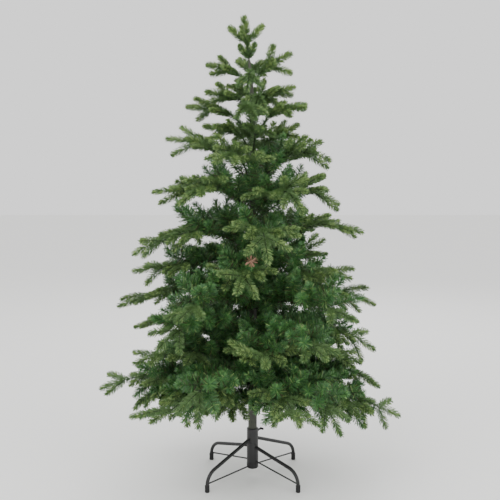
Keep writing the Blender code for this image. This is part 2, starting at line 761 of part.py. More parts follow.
def build_level(number, materials, collection):
    """All masses of a level, with the boughs that carry the lowest ones."""
    level = LEVELS[number]
    lowest = number == 0
    riser_reach = LIMB_END + 4 * STEM_RADIUS if lowest else RISER_REACH
    for wedge in range(level.wedges):
        centre = math.remainder(math.radians(level.phase) + 2 * math.pi * wedge / level.wedges, 2 * math.pi)
        rng = random.Random(SEED + 100 * number + wedge)
        mass = Mass(f"foliage_{number + 1}_{wedge + 1}", Space(number, centre), materials["needles"])
        twist = TWIST * 2 * math.pi / level.wedges
        turns = (-twist, twist) if len(level.tiers) == 2 else (0.0,)
        boughs = [Bough(tier, centre + turn) for tier, turn in zip(level.tiers, turns)]
        if lowest:
            reach = build_bough_limb(f"bough_{wedge + 1}", boughs[0], materials["wire"], collection)
            boughs[0].stem_start = reach + GAP
            mass.limb = boughs[0]
        for bough in boughs:
            mass.add_stem(bough)
        if len(boughs) == 2:
            low, high = [bough.on_stem(bough.station_at(riser_reach)).translation for bough in boughs]
            along = (high - low).normalized()
            low -= along * STEM_RADIUS / 2
            rod = rod_shape((high - low).length + STEM_RADIUS / 2, RISER_RADIUS, RISER_RADIUS, 1)
            mass.add(rod, aimed(low, along, 0.0), required=True)
        for bough in boughs:
            grow_bough(mass, bough, rng)
        mass.fuse(collection)


def build_leader(materials, collection):
    """The top: crossed upright fans with a ring of short sprays below them."""
    rng = random.Random(SEED + 999)
    mass = Mass("foliage_top", LeaderSpace(), materials["needles"])
    foot = Vector((lean(POLE_TOP), 0.0, POLE_TOP + GAP))
    top = Vector((lean(LEAN_TOP), 0.0, LEAN_TOP))
    upright = top - foot
    rod = rod_shape(upright.length, STEM_RADIUS, STEM_RADIUS * STEM_TAPER, 1)
    mass.add(rod, aimed(foot, upright, 0.0), required=True)
    mass.add_fan(aimed(top, upright, math.pi / 2), 0.0, 0.0, 0.0, LEADER_SPRAY)
    crossing = aimed(top - upright * LEADER_CROSS_DROP, upright, 0.0)
    mass.add_fan(crossing, 0.0, 0.0, 0.0, LEADER_SPRAY * LEADER_CROSS_SHARE)
    ring = aimed(foot + upright * LEADER_RING_PLACE, upright, 0.0)
    length = LEADER_SPRAY * LEADER_RING_SHARE
    for number in range(LEADER_RING):
        turn = 2 * math.pi * (number + 0.5) / LEADER_RING
        frame = ring @ Matrix.Rotation(turn, 4, "X")
        mass.add_brush(frame, rng.uniform(*LEADER_RING_SWING), 0.0, length, width=FINGER_WIDTH)
    mass.fuse(collection)


def main():
    """Build the tree."""
    clear_scene()
    tree = add_collection("christmas_tree")
    cutters = add_collection("cutters")
    materials = {
        "paint": add_material("black_painted_steel", (0.010, 0.010, 0.011), 0.38),
        "tube": add_material("charcoal_painted_steel", (0.030, 0.030, 0.032), 0.45),
        "pole": add_material("grey_brown_coated_steel", (0.055, 0.050, 0.045), 0.50),
        "cap": add_material("black_soft_plastic", (0.012, 0.012, 0.012), 0.65),
        "wire": add_material("green_wrapped_wire", (0.020, 0.050, 0.018), 0.60),
        "needles": add_material("green_needles", (0.045, 0.120, 0.030), 0.60),
    }
    build_pole(materials["pole"], tree)
    build_stand_core(materials["tube"], tree, cutters)
    build_stand_sleeve(materials["tube"], tree)
    build_screw(materials["paint"], tree, cutters)
    for name, azimuth, hub, strut in LEGS:
        build_leg(name, azimuth, hub, strut, materials["paint"], materials["cap"], tree)
    for number in range(len(LEVELS)):
        build_level(number, materials, tree)
    build_leader(materials, tree)


main()
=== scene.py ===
"""Dressed model of a 1.5 m artificial fir on a folding tube stand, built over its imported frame.

Units are metres and +Z is up.  The origin is on the floor at the pole's axis, and the front of the
tree faces -Y.  Every bough leaves the pole and grows by one seeded rule; the needles, the cut film
and the wires of a level are joined into one piece each.
"""

import logging
import math
import random
from dataclasses import dataclass, field
from enum import Enum

import bpy
import numpy as np
from mathutils import Matrix, Vector


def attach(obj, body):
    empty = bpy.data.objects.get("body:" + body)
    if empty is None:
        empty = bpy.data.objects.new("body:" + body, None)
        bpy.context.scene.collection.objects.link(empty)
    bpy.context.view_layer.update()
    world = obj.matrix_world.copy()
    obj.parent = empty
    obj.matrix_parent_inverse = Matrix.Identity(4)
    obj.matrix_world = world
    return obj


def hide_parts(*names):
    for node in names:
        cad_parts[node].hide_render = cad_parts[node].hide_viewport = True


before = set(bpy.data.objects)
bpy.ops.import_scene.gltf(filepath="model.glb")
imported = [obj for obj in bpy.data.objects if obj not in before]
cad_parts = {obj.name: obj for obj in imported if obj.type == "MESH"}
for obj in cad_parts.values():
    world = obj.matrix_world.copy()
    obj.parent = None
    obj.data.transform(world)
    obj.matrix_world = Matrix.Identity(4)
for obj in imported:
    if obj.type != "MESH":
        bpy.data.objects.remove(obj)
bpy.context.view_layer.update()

log = logging.getLogger("fir")

BODY = "root"
SEED = 1500
GAP = 0.0003                    # between neighbouring solids
GOLDEN = math.radians(137.508)
TURN = 2 * math.pi

Skin = tuple[np.ndarray, np.ndarray]    # points, and triangles as rows of point numbers

# ------------------------------------------------------------------ colours and nodes


def linear(colour: str) -> tuple[float, float, float, float]:
    """Turn an sRGB hex value into linear light.

    Args:
        colour: six hex digits, with or without a leading hash.

    Returns:
        Red, green, blue and an alpha of one.
    """
    digits = colour.lstrip("#")
    parts = [int(digits[i:i + 2], 16) / 255 for i in (0, 2, 4)]
    light = [c / 12.92 if c <= 0.04045 else ((c + 0.055) / 1.055) ** 2.4 for c in parts]
    return (light[0], light[1], light[2], 1.0)


def add_node(material: bpy.types.Material, kind: str, links: dict | None = None,
             feeds: dict | None = None, **settings: object) -> bpy.types.Node:
    """Add a node with its settings and its links.

    Args:
        material: the material that takes the node.
        kind: the node's type.
        links: input name or number to the output socket that feeds it.
        feeds: output name to the input socket that it feeds.
        settings: properties of the node, or default values of its inputs.

    Returns:
        The new node.
    """
    node = material.node_tree.nodes.new(kind)
    for name, value in settings.items():
        if hasattr(node, name):
            setattr(node, name, value)
        else:
            node.inputs[name.replace("_", " ").title()].default_value = value
    for name, source in (links or {}).items():
        material.node_tree.links.new(source, node.inputs[name])
    for name, target in (feeds or {}).items():
        material.node_tree.links.new(node.outputs[name], target)
    return node


# ------------------------------------------------------------------ finishes


@dataclass(frozen=True)
class Finish:
    """One even colour on a coat or a plastic, which the finer finishes work a pattern into."""

    name: str
    colour: str
    roughness: float
    ior: float = 1.5
    metallic: float = 0.0

    def blank(self) -> tuple[bpy.types.Material, bpy.types.Node]:
        """Start the material from one Principled shader.

        Returns:
            The material and its shader node.
        """
        material = bpy.data.materials.new(self.name)
        material.use_nodes = True
        shader = material.node_tree.nodes["Principled BSDF"]
        shader.inputs["Base Color"].default_value = linear(self.colour)
        shader.inputs["Roughness"].default_value = self.roughness
        shader.inputs["Metallic"].default_value = self.metallic
        shader.inputs["IOR"].default_value = self.ior
        material.diffuse_color = linear(self.colour)
        return material, shader

    def material(self) -> bpy.types.Material:
        """Make the material: plain, so that the piece's own shape gives the light and dark."""
        return self.blank()[0]

    def tint(self, material: bpy.types.Material, source: bpy.types.NodeSocket, places: tuple,
             second: str) -> None:
        """Let a pattern lead from the finish's colour to a second one.

        Args:
            material: the finish's material.
            source: the pattern's output.
            places: the pattern's values at the two colours.
            second: the other colour.
        """
        shader = material.node_tree.nodes["Principled BSDF"]
        ramp = add_node(material, "ShaderNodeValToRGB", {"Fac": source},
                        {"Color": shader.inputs["Base Color"]})
        for stop, position, colour in zip(ramp.color_ramp.elements, places, (self.colour, second)):
            stop.position, stop.color = position, linear(colour)


@dataclass(frozen=True)
class PowderCoat(Finish):
    """Baked polyester powder on steel: a satin skin with a faint orange peel."""

    ior: float = 1.52
    worn: str = "#1A1A1A"       # colour where dust and handling have dulled it
    patches: float = 18.0       # dull patches in a metre
    peel: float = 0.0016        # the real dimples are 0.8 mm apart, drawn twice as coarse to show

    def material(self) -> bpy.types.Material:
        """Make the material.

        Returns:
            It, with the peel in the bump and the dulling in colour and roughness.
        """
        material, shader = self.blank()
        place = add_node(material, "ShaderNodeTexCoord").outputs["Object"]
        cloud = add_node(material, "ShaderNodeTexNoise", {"Vector": place}, Scale=self.patches,
                         Detail=5.0).outputs["Fac"]
        self.tint(material, cloud, (0.42, 0.74), self.worn)
        add_node(material, "ShaderNodeMapRange", {"Value": cloud}, {"Result": shader.inputs["Roughness"]},
                 To_Min=self.roughness - 0.05, To_Max=self.roughness + 0.12)
        grain = add_node(material, "ShaderNodeTexNoise", {"Vector": place}, Scale=1 / self.peel, Detail=2.0)
        add_node(material, "ShaderNodeBump", {"Height": grain.outputs["Fac"]},
                 {"Normal": shader.inputs["Normal"]}, Strength=0.35, Distance=0.0002)
        return material


@dataclass(frozen=True)
class DrawnTubeCoat(Finish):
    """Thin lacquer over drawn steel tube: fine lines along the tube show through it."""

    light: str = "#383B2D"      # colour where the lacquer is thin
    patches: float = 40.0       # thin patches in a metre
    line: float = 0.0012        # the real draw lines are 0.3 mm apart, drawn coarser to show
    stretch: tuple = (1.0, 1.0, 0.03)

    def material(self) -> bpy.types.Material:
        """Make the material.

        Returns:
            It, with draw lines from noise that is stretched along Z, and a soft mottle.
        """
        material, shader = self.blank()
        place = add_node(material, "ShaderNodeTexCoord").outputs["Object"]
        squeeze = add_node(material, "ShaderNodeMapping", {"Vector": place}, Scale=self.stretch)
        lines = add_node(material, "ShaderNodeTexNoise", {"Vector": squeeze.outputs["Vector"]},
                         Scale=1 / self.line, Detail=3.0).outputs["Fac"]
        mottle = add_node(material, "ShaderNodeTexNoise", {"Vector": place}, Scale=self.patches, Detail=4.0)
        both = add_node(material, "ShaderNodeMath", {0: lines, 1: mottle.outputs["Fac"]}, operation="ADD")
        self.tint(material, both.outputs["Value"], (0.80, 1.0), self.light)
        add_node(material, "ShaderNodeBump", {"Height": lines}, {"Normal": shader.inputs["Normal"]},
                 Strength=0.25, Distance=0.0001)
        return material


@dataclass(frozen=True)
class Grained(Finish):
    """A skin of one colour whose fine grain stands only in its relief."""

    pattern: tuple = ("ShaderNodeTexNoise", "Fac")
    grains: float = 1000.0      # in a metre
    strength: float = 0.3
    depth: float = 0.0002

    def material(self) -> bpy.types.Material:
        """Make the material.

        Returns:
            It, with the grain in the bump.
        """
        material, shader = self.blank()
        place = add_node(material, "ShaderNodeTexCoord").outputs["Object"]
        grain = add_node(material, self.pattern[0], {"Vector": place}, Scale=self.grains)
        add_node(material, "ShaderNodeBump", {"Height": grain.outputs[self.pattern[1]]},
                 {"Normal": shader.inputs["Normal"]}, Strength=self.strength, Distance=self.depth)
        return material


@dataclass(frozen=True)
class MouldedRubber(Grained):
    """Soft PVC moulded in a blasted tool: matt, with an even grain of small cells.

    The tool's grit is 0.3 mm and the cells are drawn 1 mm wide, so that they show.
    """

    ior: float = 1.53
    pattern: tuple = ("ShaderNodeTexVoronoi", "Distance")


@dataclass(frozen=True)
class PaintedBoard(Grained):
    """Emulsion rolled on smooth board: dead matt with a low stipple, so it takes only soft shadows."""

    grains: float = 900.0
    strength: float = 0.1
    depth: float = 0.0001


@dataclass(frozen=True)
class NeedlePlastic(Finish):
    """Polyethylene or film coloured through and through: a waxy sheen and no grain."""

    ior: float = 1.51


class Tone(Enum):
    """Colours that are dealt out among the needles and the strips of film; some darker ones are also painted
    shade on needles that point down, and the fresh green also makes painted glints among the film.
    """

    FRESH_AND_GLINT = NeedlePlastic("polyethylene_fresh_green_and_glint", "#86A05E", 0.50)
    OLIVE = NeedlePlastic("polyethylene_olive_green", "#5B7A46", 0.52)
    LEAF = NeedlePlastic("polyethylene_leaf_green", "#4B6B3B", 0.55)
    # A darker grey-green that paints shade on needles that point down.
    SHADE = NeedlePlastic("polyethylene_painted_shade_green", "#3D5236", 0.60)
    PINE = NeedlePlastic("film_pine_green", "#548342", 0.45)
    DEEP = NeedlePlastic("film_deep_green", "#3F6C36", 0.48)
    BLUISH = NeedlePlastic("film_bluish_green", "#3B633C", 0.45)
    BROWN = NeedlePlastic("film_bark_brown", "#4A3D2D", 0.60)
    TAN = NeedlePlastic("film_tan_bud", "#96705C", 0.60)
    BARK = NeedlePlastic("wound_wire_brown_green", "#2F3D27", 0.62)


class Steel(Enum):
    """Coats of the stand and the pole, and the caps under the feet."""

    BLACK = PowderCoat("powder_coat_black", "#0E0E10", 0.38)
    CHARCOAL = PowderCoat("powder_coat_charcoal", "#1B1B1D", 0.45, worn="#262625")
    TAUPE = DrawnTubeCoat("lacquered_drawn_tube", "#272A20", 0.50)
    CAPS = MouldedRubber("moulded_soft_black", "#121212", 0.72)


MATERIALS = {tone: tone.value.material() for kind in (Tone, Steel) for tone in kind}
NUMBER = {tone: number for number, tone in enumerate(Tone)}

# ------------------------------------------------------------------ stems and skins


def unit(rows: np.ndarray) -> np.ndarray:
    """Scale each row to length one."""
    return rows / np.linalg.norm(rows, axis=1, keepdims=True)


def turned(root: Matrix, swing: float, rise: float, roll: float = 0.0) -> Matrix:
    """A frame swung aside, raised and rolled, in degrees."""
    turn = Matrix.Rotation(math.radians(swing), 4, "Z") @ Matrix.Rotation(-math.radians(rise), 4, "Y")
    return root @ turn @ Matrix.Rotation(math.radians(roll), 4, "X")


@dataclass
class Stem:
    """A bent wire given by points along it, with the frame at each point."""

    points: np.ndarray
    along: np.ndarray
    side: np.ndarray
    up: np.ndarray

    @classmethod
    def through(cls, frames: list[Matrix]) -> "Stem":
        """Make a stem through frames whose X axes run along it."""
        table = np.array([np.array(matrix) for matrix in frames])
        return cls(table[:, :3, 3], table[:, :3, 0], table[:, :3, 1], table[:, :3, 2])

    @classmethod
    def bent(cls, root: Matrix, length: float, droop: float, sweep: float = 0.0,
             pieces: int = 5) -> "Stem":
        """Make a stem that leaves a frame and bends evenly.

        Args:
            root: the frame it leaves, with X along it.
            length: how long it is.
            droop: how far it bends down over its length, in degrees.
            sweep: how far it bends towards +Y over its length, in degrees.
            pieces: how many straight pieces it is drawn with.

        Returns:
            The stem.
        """
        frames = [root]
        for _ in range(pieces):
            turn = Matrix.Rotation(math.radians(sweep) / pieces, 4, "Z")
            turn = turn @ Matrix.Rotation(math.radians(droop) / pieces, 4, "Y")
            frames.append(frames[-1] @ Matrix.Translation((length / pieces, 0, 0)) @ turn)
        return cls.through(frames)

    @property
    def length(self) -> float:
        """Length along the stem."""
        return float(np.linalg.norm(np.diff(self.points, axis=0), axis=1).sum())

    def at(self, shares: np.ndarray) -> list[np.ndarray]:
        """Find places along the stem.

        Args:
            shares: where they are, in parts of the length.

        Returns:
            Their points, and the directions along, aside and up.
        """
        places = np.clip(shares, 0, 1) * (len(self.points) - 1)
        return [np.stack([np.interp(places, np.arange(len(table)), table[:, axis])
                          for axis in range(3)], axis=1)
                for table in (self.points, self.along, self.side, self.up)]


def mantle(here: np.ndarray) -> np.ndarray:
    """Join rings of points by triangles.

    Args:
        here: a table of point numbers with a row for each ring.

    Returns:
        The triangles between each row and the next.
    """
    following = np.roll(here, -1, axis=1)
    a, b, c, d = (table.ravel() for table in (here[:-1], following[:-1], following[1:], here[1:]))
    return np.concatenate([np.stack([a, b, c], 1), np.stack([a, c, d], 1)])


def tube(stem: Stem, radii: np.ndarray, sides: int) -> Skin:
    """Run a round skin along a stem, closed at both ends.

    Args:
        stem: the line it follows.
        radii: its radius at each of the stem's points.
        sides: how many faces it has round it.

    Returns:
        Its skin.
    """
    angles = np.linspace(0, TURN, sides, endpoint=False)[None, :, None]
    ring = stem.side[:, None] * np.cos(angles) + stem.up[:, None] * np.sin(angles)
    points = (stem.points[:, None] + ring * radii[:, None, None]).reshape(-1, 3)
    here = np.arange(len(points)).reshape(-1, sides)
    middle = np.arange(1, sides - 1)
    last = here[-1, 0]
    caps = [np.stack([np.zeros_like(middle), middle, middle + 1], 1),
            np.stack([np.full_like(middle, last), last + middle + 1, last + middle], 1)]
    return points, np.concatenate([mantle(here)[:, [0, 2, 1]], *caps])


def lathe(profile: list[tuple[float, float]], segments: int, closed: bool = False) -> Skin:
    """Turn a profile round Z.

    Args:
        profile: points of (radius, height), with the outside to the right of their run upwards.
        segments: how many steps make the circle.
        closed: whether the last point joins the first.

    Returns:
        Its skin.
    """
    rows = np.array(profile)
    angles = np.linspace(0, TURN, segments, endpoint=False)
    points = np.stack([np.outer(rows[:, 0], np.cos(angles)), np.outer(rows[:, 0], np.sin(angles)),
                       np.repeat(rows[:, 1:], segments, axis=1)], axis=2).reshape(-1, 3)
    here = np.arange(len(points)).reshape(-1, segments)
    return points, mantle(np.concatenate([here, here[:1]]) if closed else here)


def arc(centre: tuple[float, float], radius: float, start: float, stop: float,
        steps: int = 5) -> list[tuple[float, float]]:
    """Round a corner of a profile.

    Args:
        centre: the middle of the arc.
        radius: its radius.
        start: the angle that it starts at, in degrees.
        stop: the angle that it ends at.
        steps: how many straight pieces it is drawn with.

    Returns:
        Its points.
    """
    angles = [math.radians(start + (stop - start) * step / steps) for step in range(steps + 1)]
    return [(centre[0] + radius * math.cos(a), centre[1] + radius * math.sin(a)) for a in angles]


def placed(skin: Skin, matrix: Matrix) -> Skin:
    """Move a skin by a matrix."""
    table = np.array(matrix)
    return skin[0] @ table[:3, :3].T + table[:3, 3], skin[1]


@dataclass
class Sheaf:
    """The faces of one piece, gathered before they become a mesh."""

    name: str
    tones: list[Enum]           # the finishes that its faces can take
    points: list[np.ndarray] = field(default_factory=list)
    faces: list[np.ndarray] = field(default_factory=list)
    marks: list[np.ndarray] = field(default_factory=list)       # the number of each face's finish
    count: int = 0              # points so far

    def add(self, points: np.ndarray, faces: np.ndarray, tones: np.ndarray | Enum) -> None:
        """Take in points and triangles.

        Args:
            points: one row for each point.
            faces: one row of three point numbers for each triangle.
            tones: a finish for all of them, or the number of each triangle's finish.
        """
        if isinstance(tones, Enum):
            tones = np.full(len(faces), self.tones.index(tones))
        self.points.append(points)
        self.faces.append(faces + self.count)
        self.marks.append(tones)
        self.count += len(points)

    def build(self, slot: str, nodes: list[str], smooth: float | None = 40.0) -> None:
        """Turn the faces into one mesh that rides on the body.

        Args:
            slot: the name of a material slot; not used.
            nodes: the solids it stands for.
            smooth: edges sharper than this many degrees stay sharp; None leaves flat faces.
        """
        mesh = bpy.data.meshes.new(self.name)
        mesh.from_pydata(np.concatenate(self.points), [], np.concatenate(self.faces))
        for tone in self.tones:
            mesh.materials.append(MATERIALS[tone])
        mesh.polygons.foreach_set("material_index", np.concatenate(self.marks).astype(np.int32))
        if smooth is not None:
            mesh.shade_smooth()
            mesh.set_sharp_from_angle(angle=math.radians(smooth))
        mesh.update()
        piece = bpy.data.objects.new(self.name, mesh)
        bpy.context.scene.collection.objects.link(piece)
        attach(piece, BODY)
        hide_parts(*nodes)
        log.info("%s: %d triangles", self.name, len(mesh.polygons))


def build_single(name: str, slot: str, node: str, finish: Steel, *skins: Skin, smooth: float = 40.0) -> None:
    """Build a piece of one finish that stands for one solid.

    Args:
        name: the piece's name.
        slot: the name of a material slot, passed to Sheaf.build.
        node: the solid.
        finish: what all of it is coated with.
        skins: what it is made of.
        smooth: edges sharper than this many degrees stay sharp.
    """
    piece = Sheaf(name, [finish])
    for skin in skins:
        piece.add(*skin, finish)
    piece.build(slot, [node], smooth)


# ------------------------------------------------------------------ needles and film


@dataclass(frozen=True)
class Footing:
    """Where the blades of one stem stand, with a row for each blade."""

    root: np.ndarray
    heading: np.ndarray
    across: np.ndarray
    roll: np.ndarray            # turn about the heading, in radians
    around: np.ndarray          # angle round the stem
    size: np.ndarray            # length in parts of the full length


@dataclass(frozen=True)
class Blade:
    """What stands round a stem in a spiral; each kind has its own outline and faces."""

    length: float
    width: float
    flutter: float              # spread of the angle to the stem, in radians
    scatter: float = 0.5        # how far one can stray round the stem, in radians
    roll: float = 1.2           # most that one is turned about itself, in radians
    shape: tuple = ()           # the corner numbers of one blade's triangles

    def cover(self, stem: Stem, radius: float, shares: np.ndarray, lean: np.ndarray, size: np.ndarray,
              rng: np.random.Generator) -> tuple[Skin, np.ndarray]:
        """Set blades along a stem.

        Args:
            stem: what they grow on.
            radius: the stem's radius.
            shares: where each stands, in parts of the stem's length.
            lean: each one's angle to the stem, in radians.
            size: each one's length in parts of the full length.
            rng: gives the small differences between them.

        Returns:
            The skin of them all, and their directions.
        """
        count = len(shares)
        base, along, side, up = stem.at(shares)
        around = (GOLDEN * np.arange(count) + rng.uniform(-self.scatter, self.scatter, count)
                  + rng.uniform(0, 6.28))
        radial = side * np.cos(around)[:, None] + up * np.sin(around)[:, None]
        lean = lean + rng.normal(0, self.flutter, count)
        heading = unit(along * np.cos(lean)[:, None] + radial * np.sin(lean)[:, None])
        across = unit(np.cross(heading, radial))
        roll = rng.uniform(-self.roll, self.roll, count)[:, None]
        feet = Footing(base + radial * radius * 0.5, heading, across, roll, around, size)
        points = np.stack(self.outline(feet, rng), axis=1)
        starts = points.shape[1] * np.arange(count)[:, None, None]
        faces = (np.array(self.shape)[None] + starts).reshape(-1, 3)
        return (points.reshape(-1, 3), faces), heading

    def outline(self, feet: Footing, rng: np.random.Generator) -> list[np.ndarray]:
        """Place the corners of every blade, which each kind does in its own way."""
        raise NotImplementedError


@dataclass(frozen=True)
class Needle(Blade):
    """A needle moulded in solid plastic, with a ridge along its back."""

    length: float = 0.0212
    width: float = 0.0027       # real needles are 1.5 mm wide, drawn wider so that fewer close the spray
    flutter: float = 0.07
    scatter: float = 0.35
    shape: tuple = ((0, 1, 2), (0, 2, 3), (0, 3, 4), (0, 4, 5))
    ridge: float = 0.0007
    squeeze: float = 0.74       # length of the needles above and below, in parts of those at the sides

    def outline(self, feet: Footing, rng: np.random.Generator) -> list[np.ndarray]:
        """Place the corners of every needle.

        Args:
            feet: where the needles stand.
            rng: gives the small differences between them.

        Returns:
            The places of the root, one side, the tip and the other side, with the ridge raised.
        """
        root, heading, roll = feet.root, feet.heading, feet.roll
        over = np.cross(feet.across, heading)
        across, over = (feet.across * np.cos(roll) + over * np.sin(roll),
                        over * np.cos(roll) - feet.across * np.sin(roll))
        flat = self.squeeze + (1 - self.squeeze) * np.abs(np.cos(feet.around))
        length = self.length * feet.size * flat * rng.uniform(0.90, 1.06, len(feet.size))
        near = root + heading * (length * 0.22)[:, None] + over * self.ridge
        far = root + heading * (length * 0.86)[:, None] + over * self.ridge
        half = across * self.width / 2
        return [root, near + half, far + half * 0.8, root + heading * length[:, None],
                far - half * 0.8, near - half]


@dataclass(frozen=True)
class FilmStrip(Blade):
    """A strip of cut film held in a twisted wire."""

    length: float = 0.027
    width: float = 0.0025       # real strips are 1.2 mm wide, drawn wider so that fewer close the brush
    flutter: float = 0.16
    shape: tuple = ((0, 1, 2), (0, 2, 3))

    def outline(self, feet: Footing, rng: np.random.Generator) -> list[np.ndarray]:
        """Place the corners of every strip.

        Args:
            feet: where the strips stand.
            rng: gives the small differences between them.

        Returns:
            The places of the two corners at the root and the two at the tip.
        """
        across = (feet.across * np.cos(feet.roll)
                  + np.cross(feet.heading, feet.across) * np.sin(feet.roll))
        length = self.length * feet.size * rng.uniform(0.80, 1.06, len(feet.size))
        tip = feet.root + feet.heading * length[:, None]
        half = across * self.width / 2
        return [feet.root - half * 0.6, feet.root + half * 0.6, tip + half * 0.7, tip - half * 0.7]


@dataclass(frozen=True)
class Spray:
    """One moulded finger of needles: a thin rachis, needles in a spiral, and a blunt tuft."""

    needle: Needle = Needle()
    spacing: float = 0.00062
    root_lean: float = 1.00     # angle of the first needles to the rachis, in radians
    tip_lean: float = 0.66
    last: float = 0.955         # where the spiral ends, in parts of the length
    tuft: int = 12
    tuft_place: float = 0.97
    tuft_lean: tuple = (0.10, 0.60)
    tuft_size: tuple = (0.45, 0.70)
    full_length: float = 0.085  # a shorter finger has shorter needles
    fresh_from: float = 0.45    # where the fresh colour starts

    def grow(self, piece: Sheaf, stem: Stem, tone: Tone, light: float, rng: np.random.Generator,
             density: float = 1.0, bare: float = 0.03) -> None:
        """Add the finger to a piece.

        Args:
            piece: what takes it in.
            stem: the line it follows.
            tone: its main colour.
            light: share of the outer needles that have the fresh colour.
            rng: gives its small differences.
            density: needles in parts of the usual number.
            bare: share of the stem that stays without needles at its root.
        """
        length = stem.length
        rows = max(8, int(length * density / self.spacing))
        shares = np.concatenate([np.linspace(bare, self.last, rows), np.full(self.tuft, self.tuft_place)])
        lean = self.root_lean + (self.tip_lean - self.root_lean) * shares ** 1.5
        lean[rows:] = rng.uniform(*self.tuft_lean, self.tuft)
        size = 0.66 + 0.40 * np.sin(math.pi * np.clip(shares * 0.92, 0, 1))
        size[rows:] = rng.uniform(*self.tuft_size, self.tuft)
        size *= min(1.0, 0.45 + length / self.full_length * 0.55)
        skin, heading = self.needle.cover(stem, 0.0011, shares, lean, size, rng)
        chance = rng.uniform(0, 1, len(shares))
        marks = np.full(len(shares), NUMBER[tone])
        marks[(shares > self.fresh_from) & (chance < light)] = NUMBER[Tone.FRESH_AND_GLINT]
        # Needles that point down take a darker green: painted shade on the underside of the finger.
        darker = Tone.SHADE if tone is Tone.LEAF else Tone.LEAF
        marks[(heading[:, 2] < -0.25) & (chance > 0.35)] = NUMBER[darker]
        piece.add(*skin, np.repeat(marks, len(self.needle.shape)))
        piece.add(*tube(stem, np.linspace(0.0013, 0.0007, len(stem.points)), 5), Tone.BARK)


@dataclass(frozen=True)
class Brush:
    """A twig of twisted wire with strips of film on every side."""

    strip: FilmStrip = FilmStrip()
    spacing: float = 0.00044
    root_lean: float = 1.25
    tip_lean: float = 0.75
    tones: tuple = (Tone.DEEP, Tone.PINE, Tone.DEEP, Tone.BLUISH)   # dealt out evenly
    brown: float = 0.12         # share of brown strips
    brown_to: float = 0.70      # where they end, in parts of the length
    glint: float = 0.05         # share of strips in the fresh green, painted glints in the film

    def grow(self, piece: Sheaf, stem: Stem, rng: np.random.Generator) -> None:
        """Add the twig to a piece.

        Args:
            piece: what takes it in.
            stem: the line it follows.
            rng: gives its small differences.
        """
        rows = max(10, int(stem.length / self.spacing))
        shares = np.linspace(0.02, 1.0, rows)
        lean = self.root_lean + (self.tip_lean - self.root_lean) * shares ** 2
        size = 0.72 + 0.34 * np.sin(math.pi * np.clip(shares * 1.05, 0, 1)) - 0.22 * shares ** 4
        skin, _ = self.strip.cover(stem, 0.0010, shares, lean, size, rng)
        marks = np.array([NUMBER[tone] for tone in self.tones])[rng.integers(0, len(self.tones), rows)]
        marks[(rng.uniform(0, 1, rows) < self.brown) & (shares < self.brown_to)] = NUMBER[Tone.BROWN]
        # A few strips take the fresh green as painted glints in the dark film.
        marks[rng.uniform(0, 1, rows) < self.glint] = NUMBER[Tone.FRESH_AND_GLINT]
        piece.add(*skin, np.repeat(marks, len(self.strip.shape)))
        piece.add(*tube(stem, np.linspace(0.0012, 0.0007, len(stem.points)), 4), Tone.BARK)


# ------------------------------------------------------------------ pole and boughs


@dataclass(frozen=True)
class PoleSizes:
    """Sizes of the stepped pole that other parts need."""

    foot: float = 0.0405
    sections: tuple = ((0.0145, 0.600), (0.0095, 1.100), (0.0060, 1.330))   # radius and top of each
    tip_radius: float = 0.0035
    top: float = 1.362
    step: float = 0.004
    lean_start: float = 1.150
    lean_top: float = 1.420
    leaning: float = 0.0185

    def lean(self, height: float) -> float:
        """How far the axis stands from X = 0 at a height."""
        rise = max(0.0, height - self.lean_start) / (self.lean_top - self.lean_start)
        return -self.leaning * rise * rise

    def radius(self, height: float) -> float:
        """Radius of the section at a height."""
        return next((radius for radius, top in self.sections if height <= top), self.sections[-1][0])


POLE = PoleSizes()


@dataclass(frozen=True)
class Tier:
    """One ring of boughs; the tip is the end of a bough's last spray."""

    root: float                 # height where the boughs leave the pole
    reach: float                # radius of the tips
    skew: float                 # change of the reach towards +X
    tip: float                  # height of the tips
    tilt: float                 # change of the tip height towards +X
    droop: float                # angle of the boughs' ends above level, degrees
    lift: float = 0.0           # how much higher the tips are in front and behind
    sag: tuple = (0.0, 0.0)     # how much the middle hangs lower, towards -X and towards +X


@dataclass(frozen=True)
class Level:
    """Masses that share a set of wedges; each holds one bough of every tier."""

    wedges: int
    phase: float                # azimuth of the first wedge, degrees
    tiers: tuple
    share: float                # part of the room up to the next level that is this one's


LEVELS = (
    Level(6, -3.0, (Tier(0.250, 0.458, 0.040, 0.224, -0.004, -24.0, 0.075),
                    Tier(0.310, 0.466, -0.040, 0.322, 0.005, -13.0, 0.055)), 0.60),
    Level(5, 0.0, (Tier(0.390, 0.384, -0.022, 0.409, -0.005, -10.0, 0.040),
                   Tier(0.475, 0.418, 0.006, 0.502, -0.026, -12.0)), 0.62),
    Level(5, 180.0, (Tier(0.565, 0.432, -0.008, 0.597, -0.013, -10.0),
                     Tier(0.655, 0.358, -0.024, 0.690, -0.014, -9.0)), 0.58),
    Level(5, 0.0, (Tier(0.750, 0.372, -0.022, 0.780, 0.028, -26.0, 0.0, (0.0, 0.075)),
                   Tier(0.865, 0.310, -0.016, 0.926, -0.010, -16.0, 0.0, (0.004, 0.030))), 0.62),
    Level(4, -6.0, (Tier(0.985, 0.268, -0.006, 1.098, -0.017, -4.0, 0.0, (0.058, 0.040)),
                    Tier(1.070, 0.156, 0.004, 1.142, -0.012, 5.0, 0.0, (0.010, 0.010))), 0.60),
    Level(4, 4.0, (Tier(1.140, 0.190, -0.018, 1.222, 0.004, 0.0, 0.0, (0.020, 0.046)),
                   Tier(1.215, 0.140, -0.010, 1.280, 0.009, 8.0, 0.0, (0.006, 0.034))), 0.60),
    Level(4, -4.0, (Tier(1.290, 0.128, -0.007, 1.362, 0.006, 15.0, 0.0, (0.010, 0.016)),), 0.50),
)


@dataclass(frozen=True)
class Bend:
    """How one bough was bent by hand when the tree was set up, in degrees."""

    swing: float = 0.0          # the end's, to the left seen along the bough
    rise: float = 0.0
    roll: float | None = None   # None leaves it to chance
    side_rise: float | None = None
    length: float = 1.0         # of the end's fingers, in parts of the usual length
    drop: float = 0.0           # how much lower the end hangs, in metres


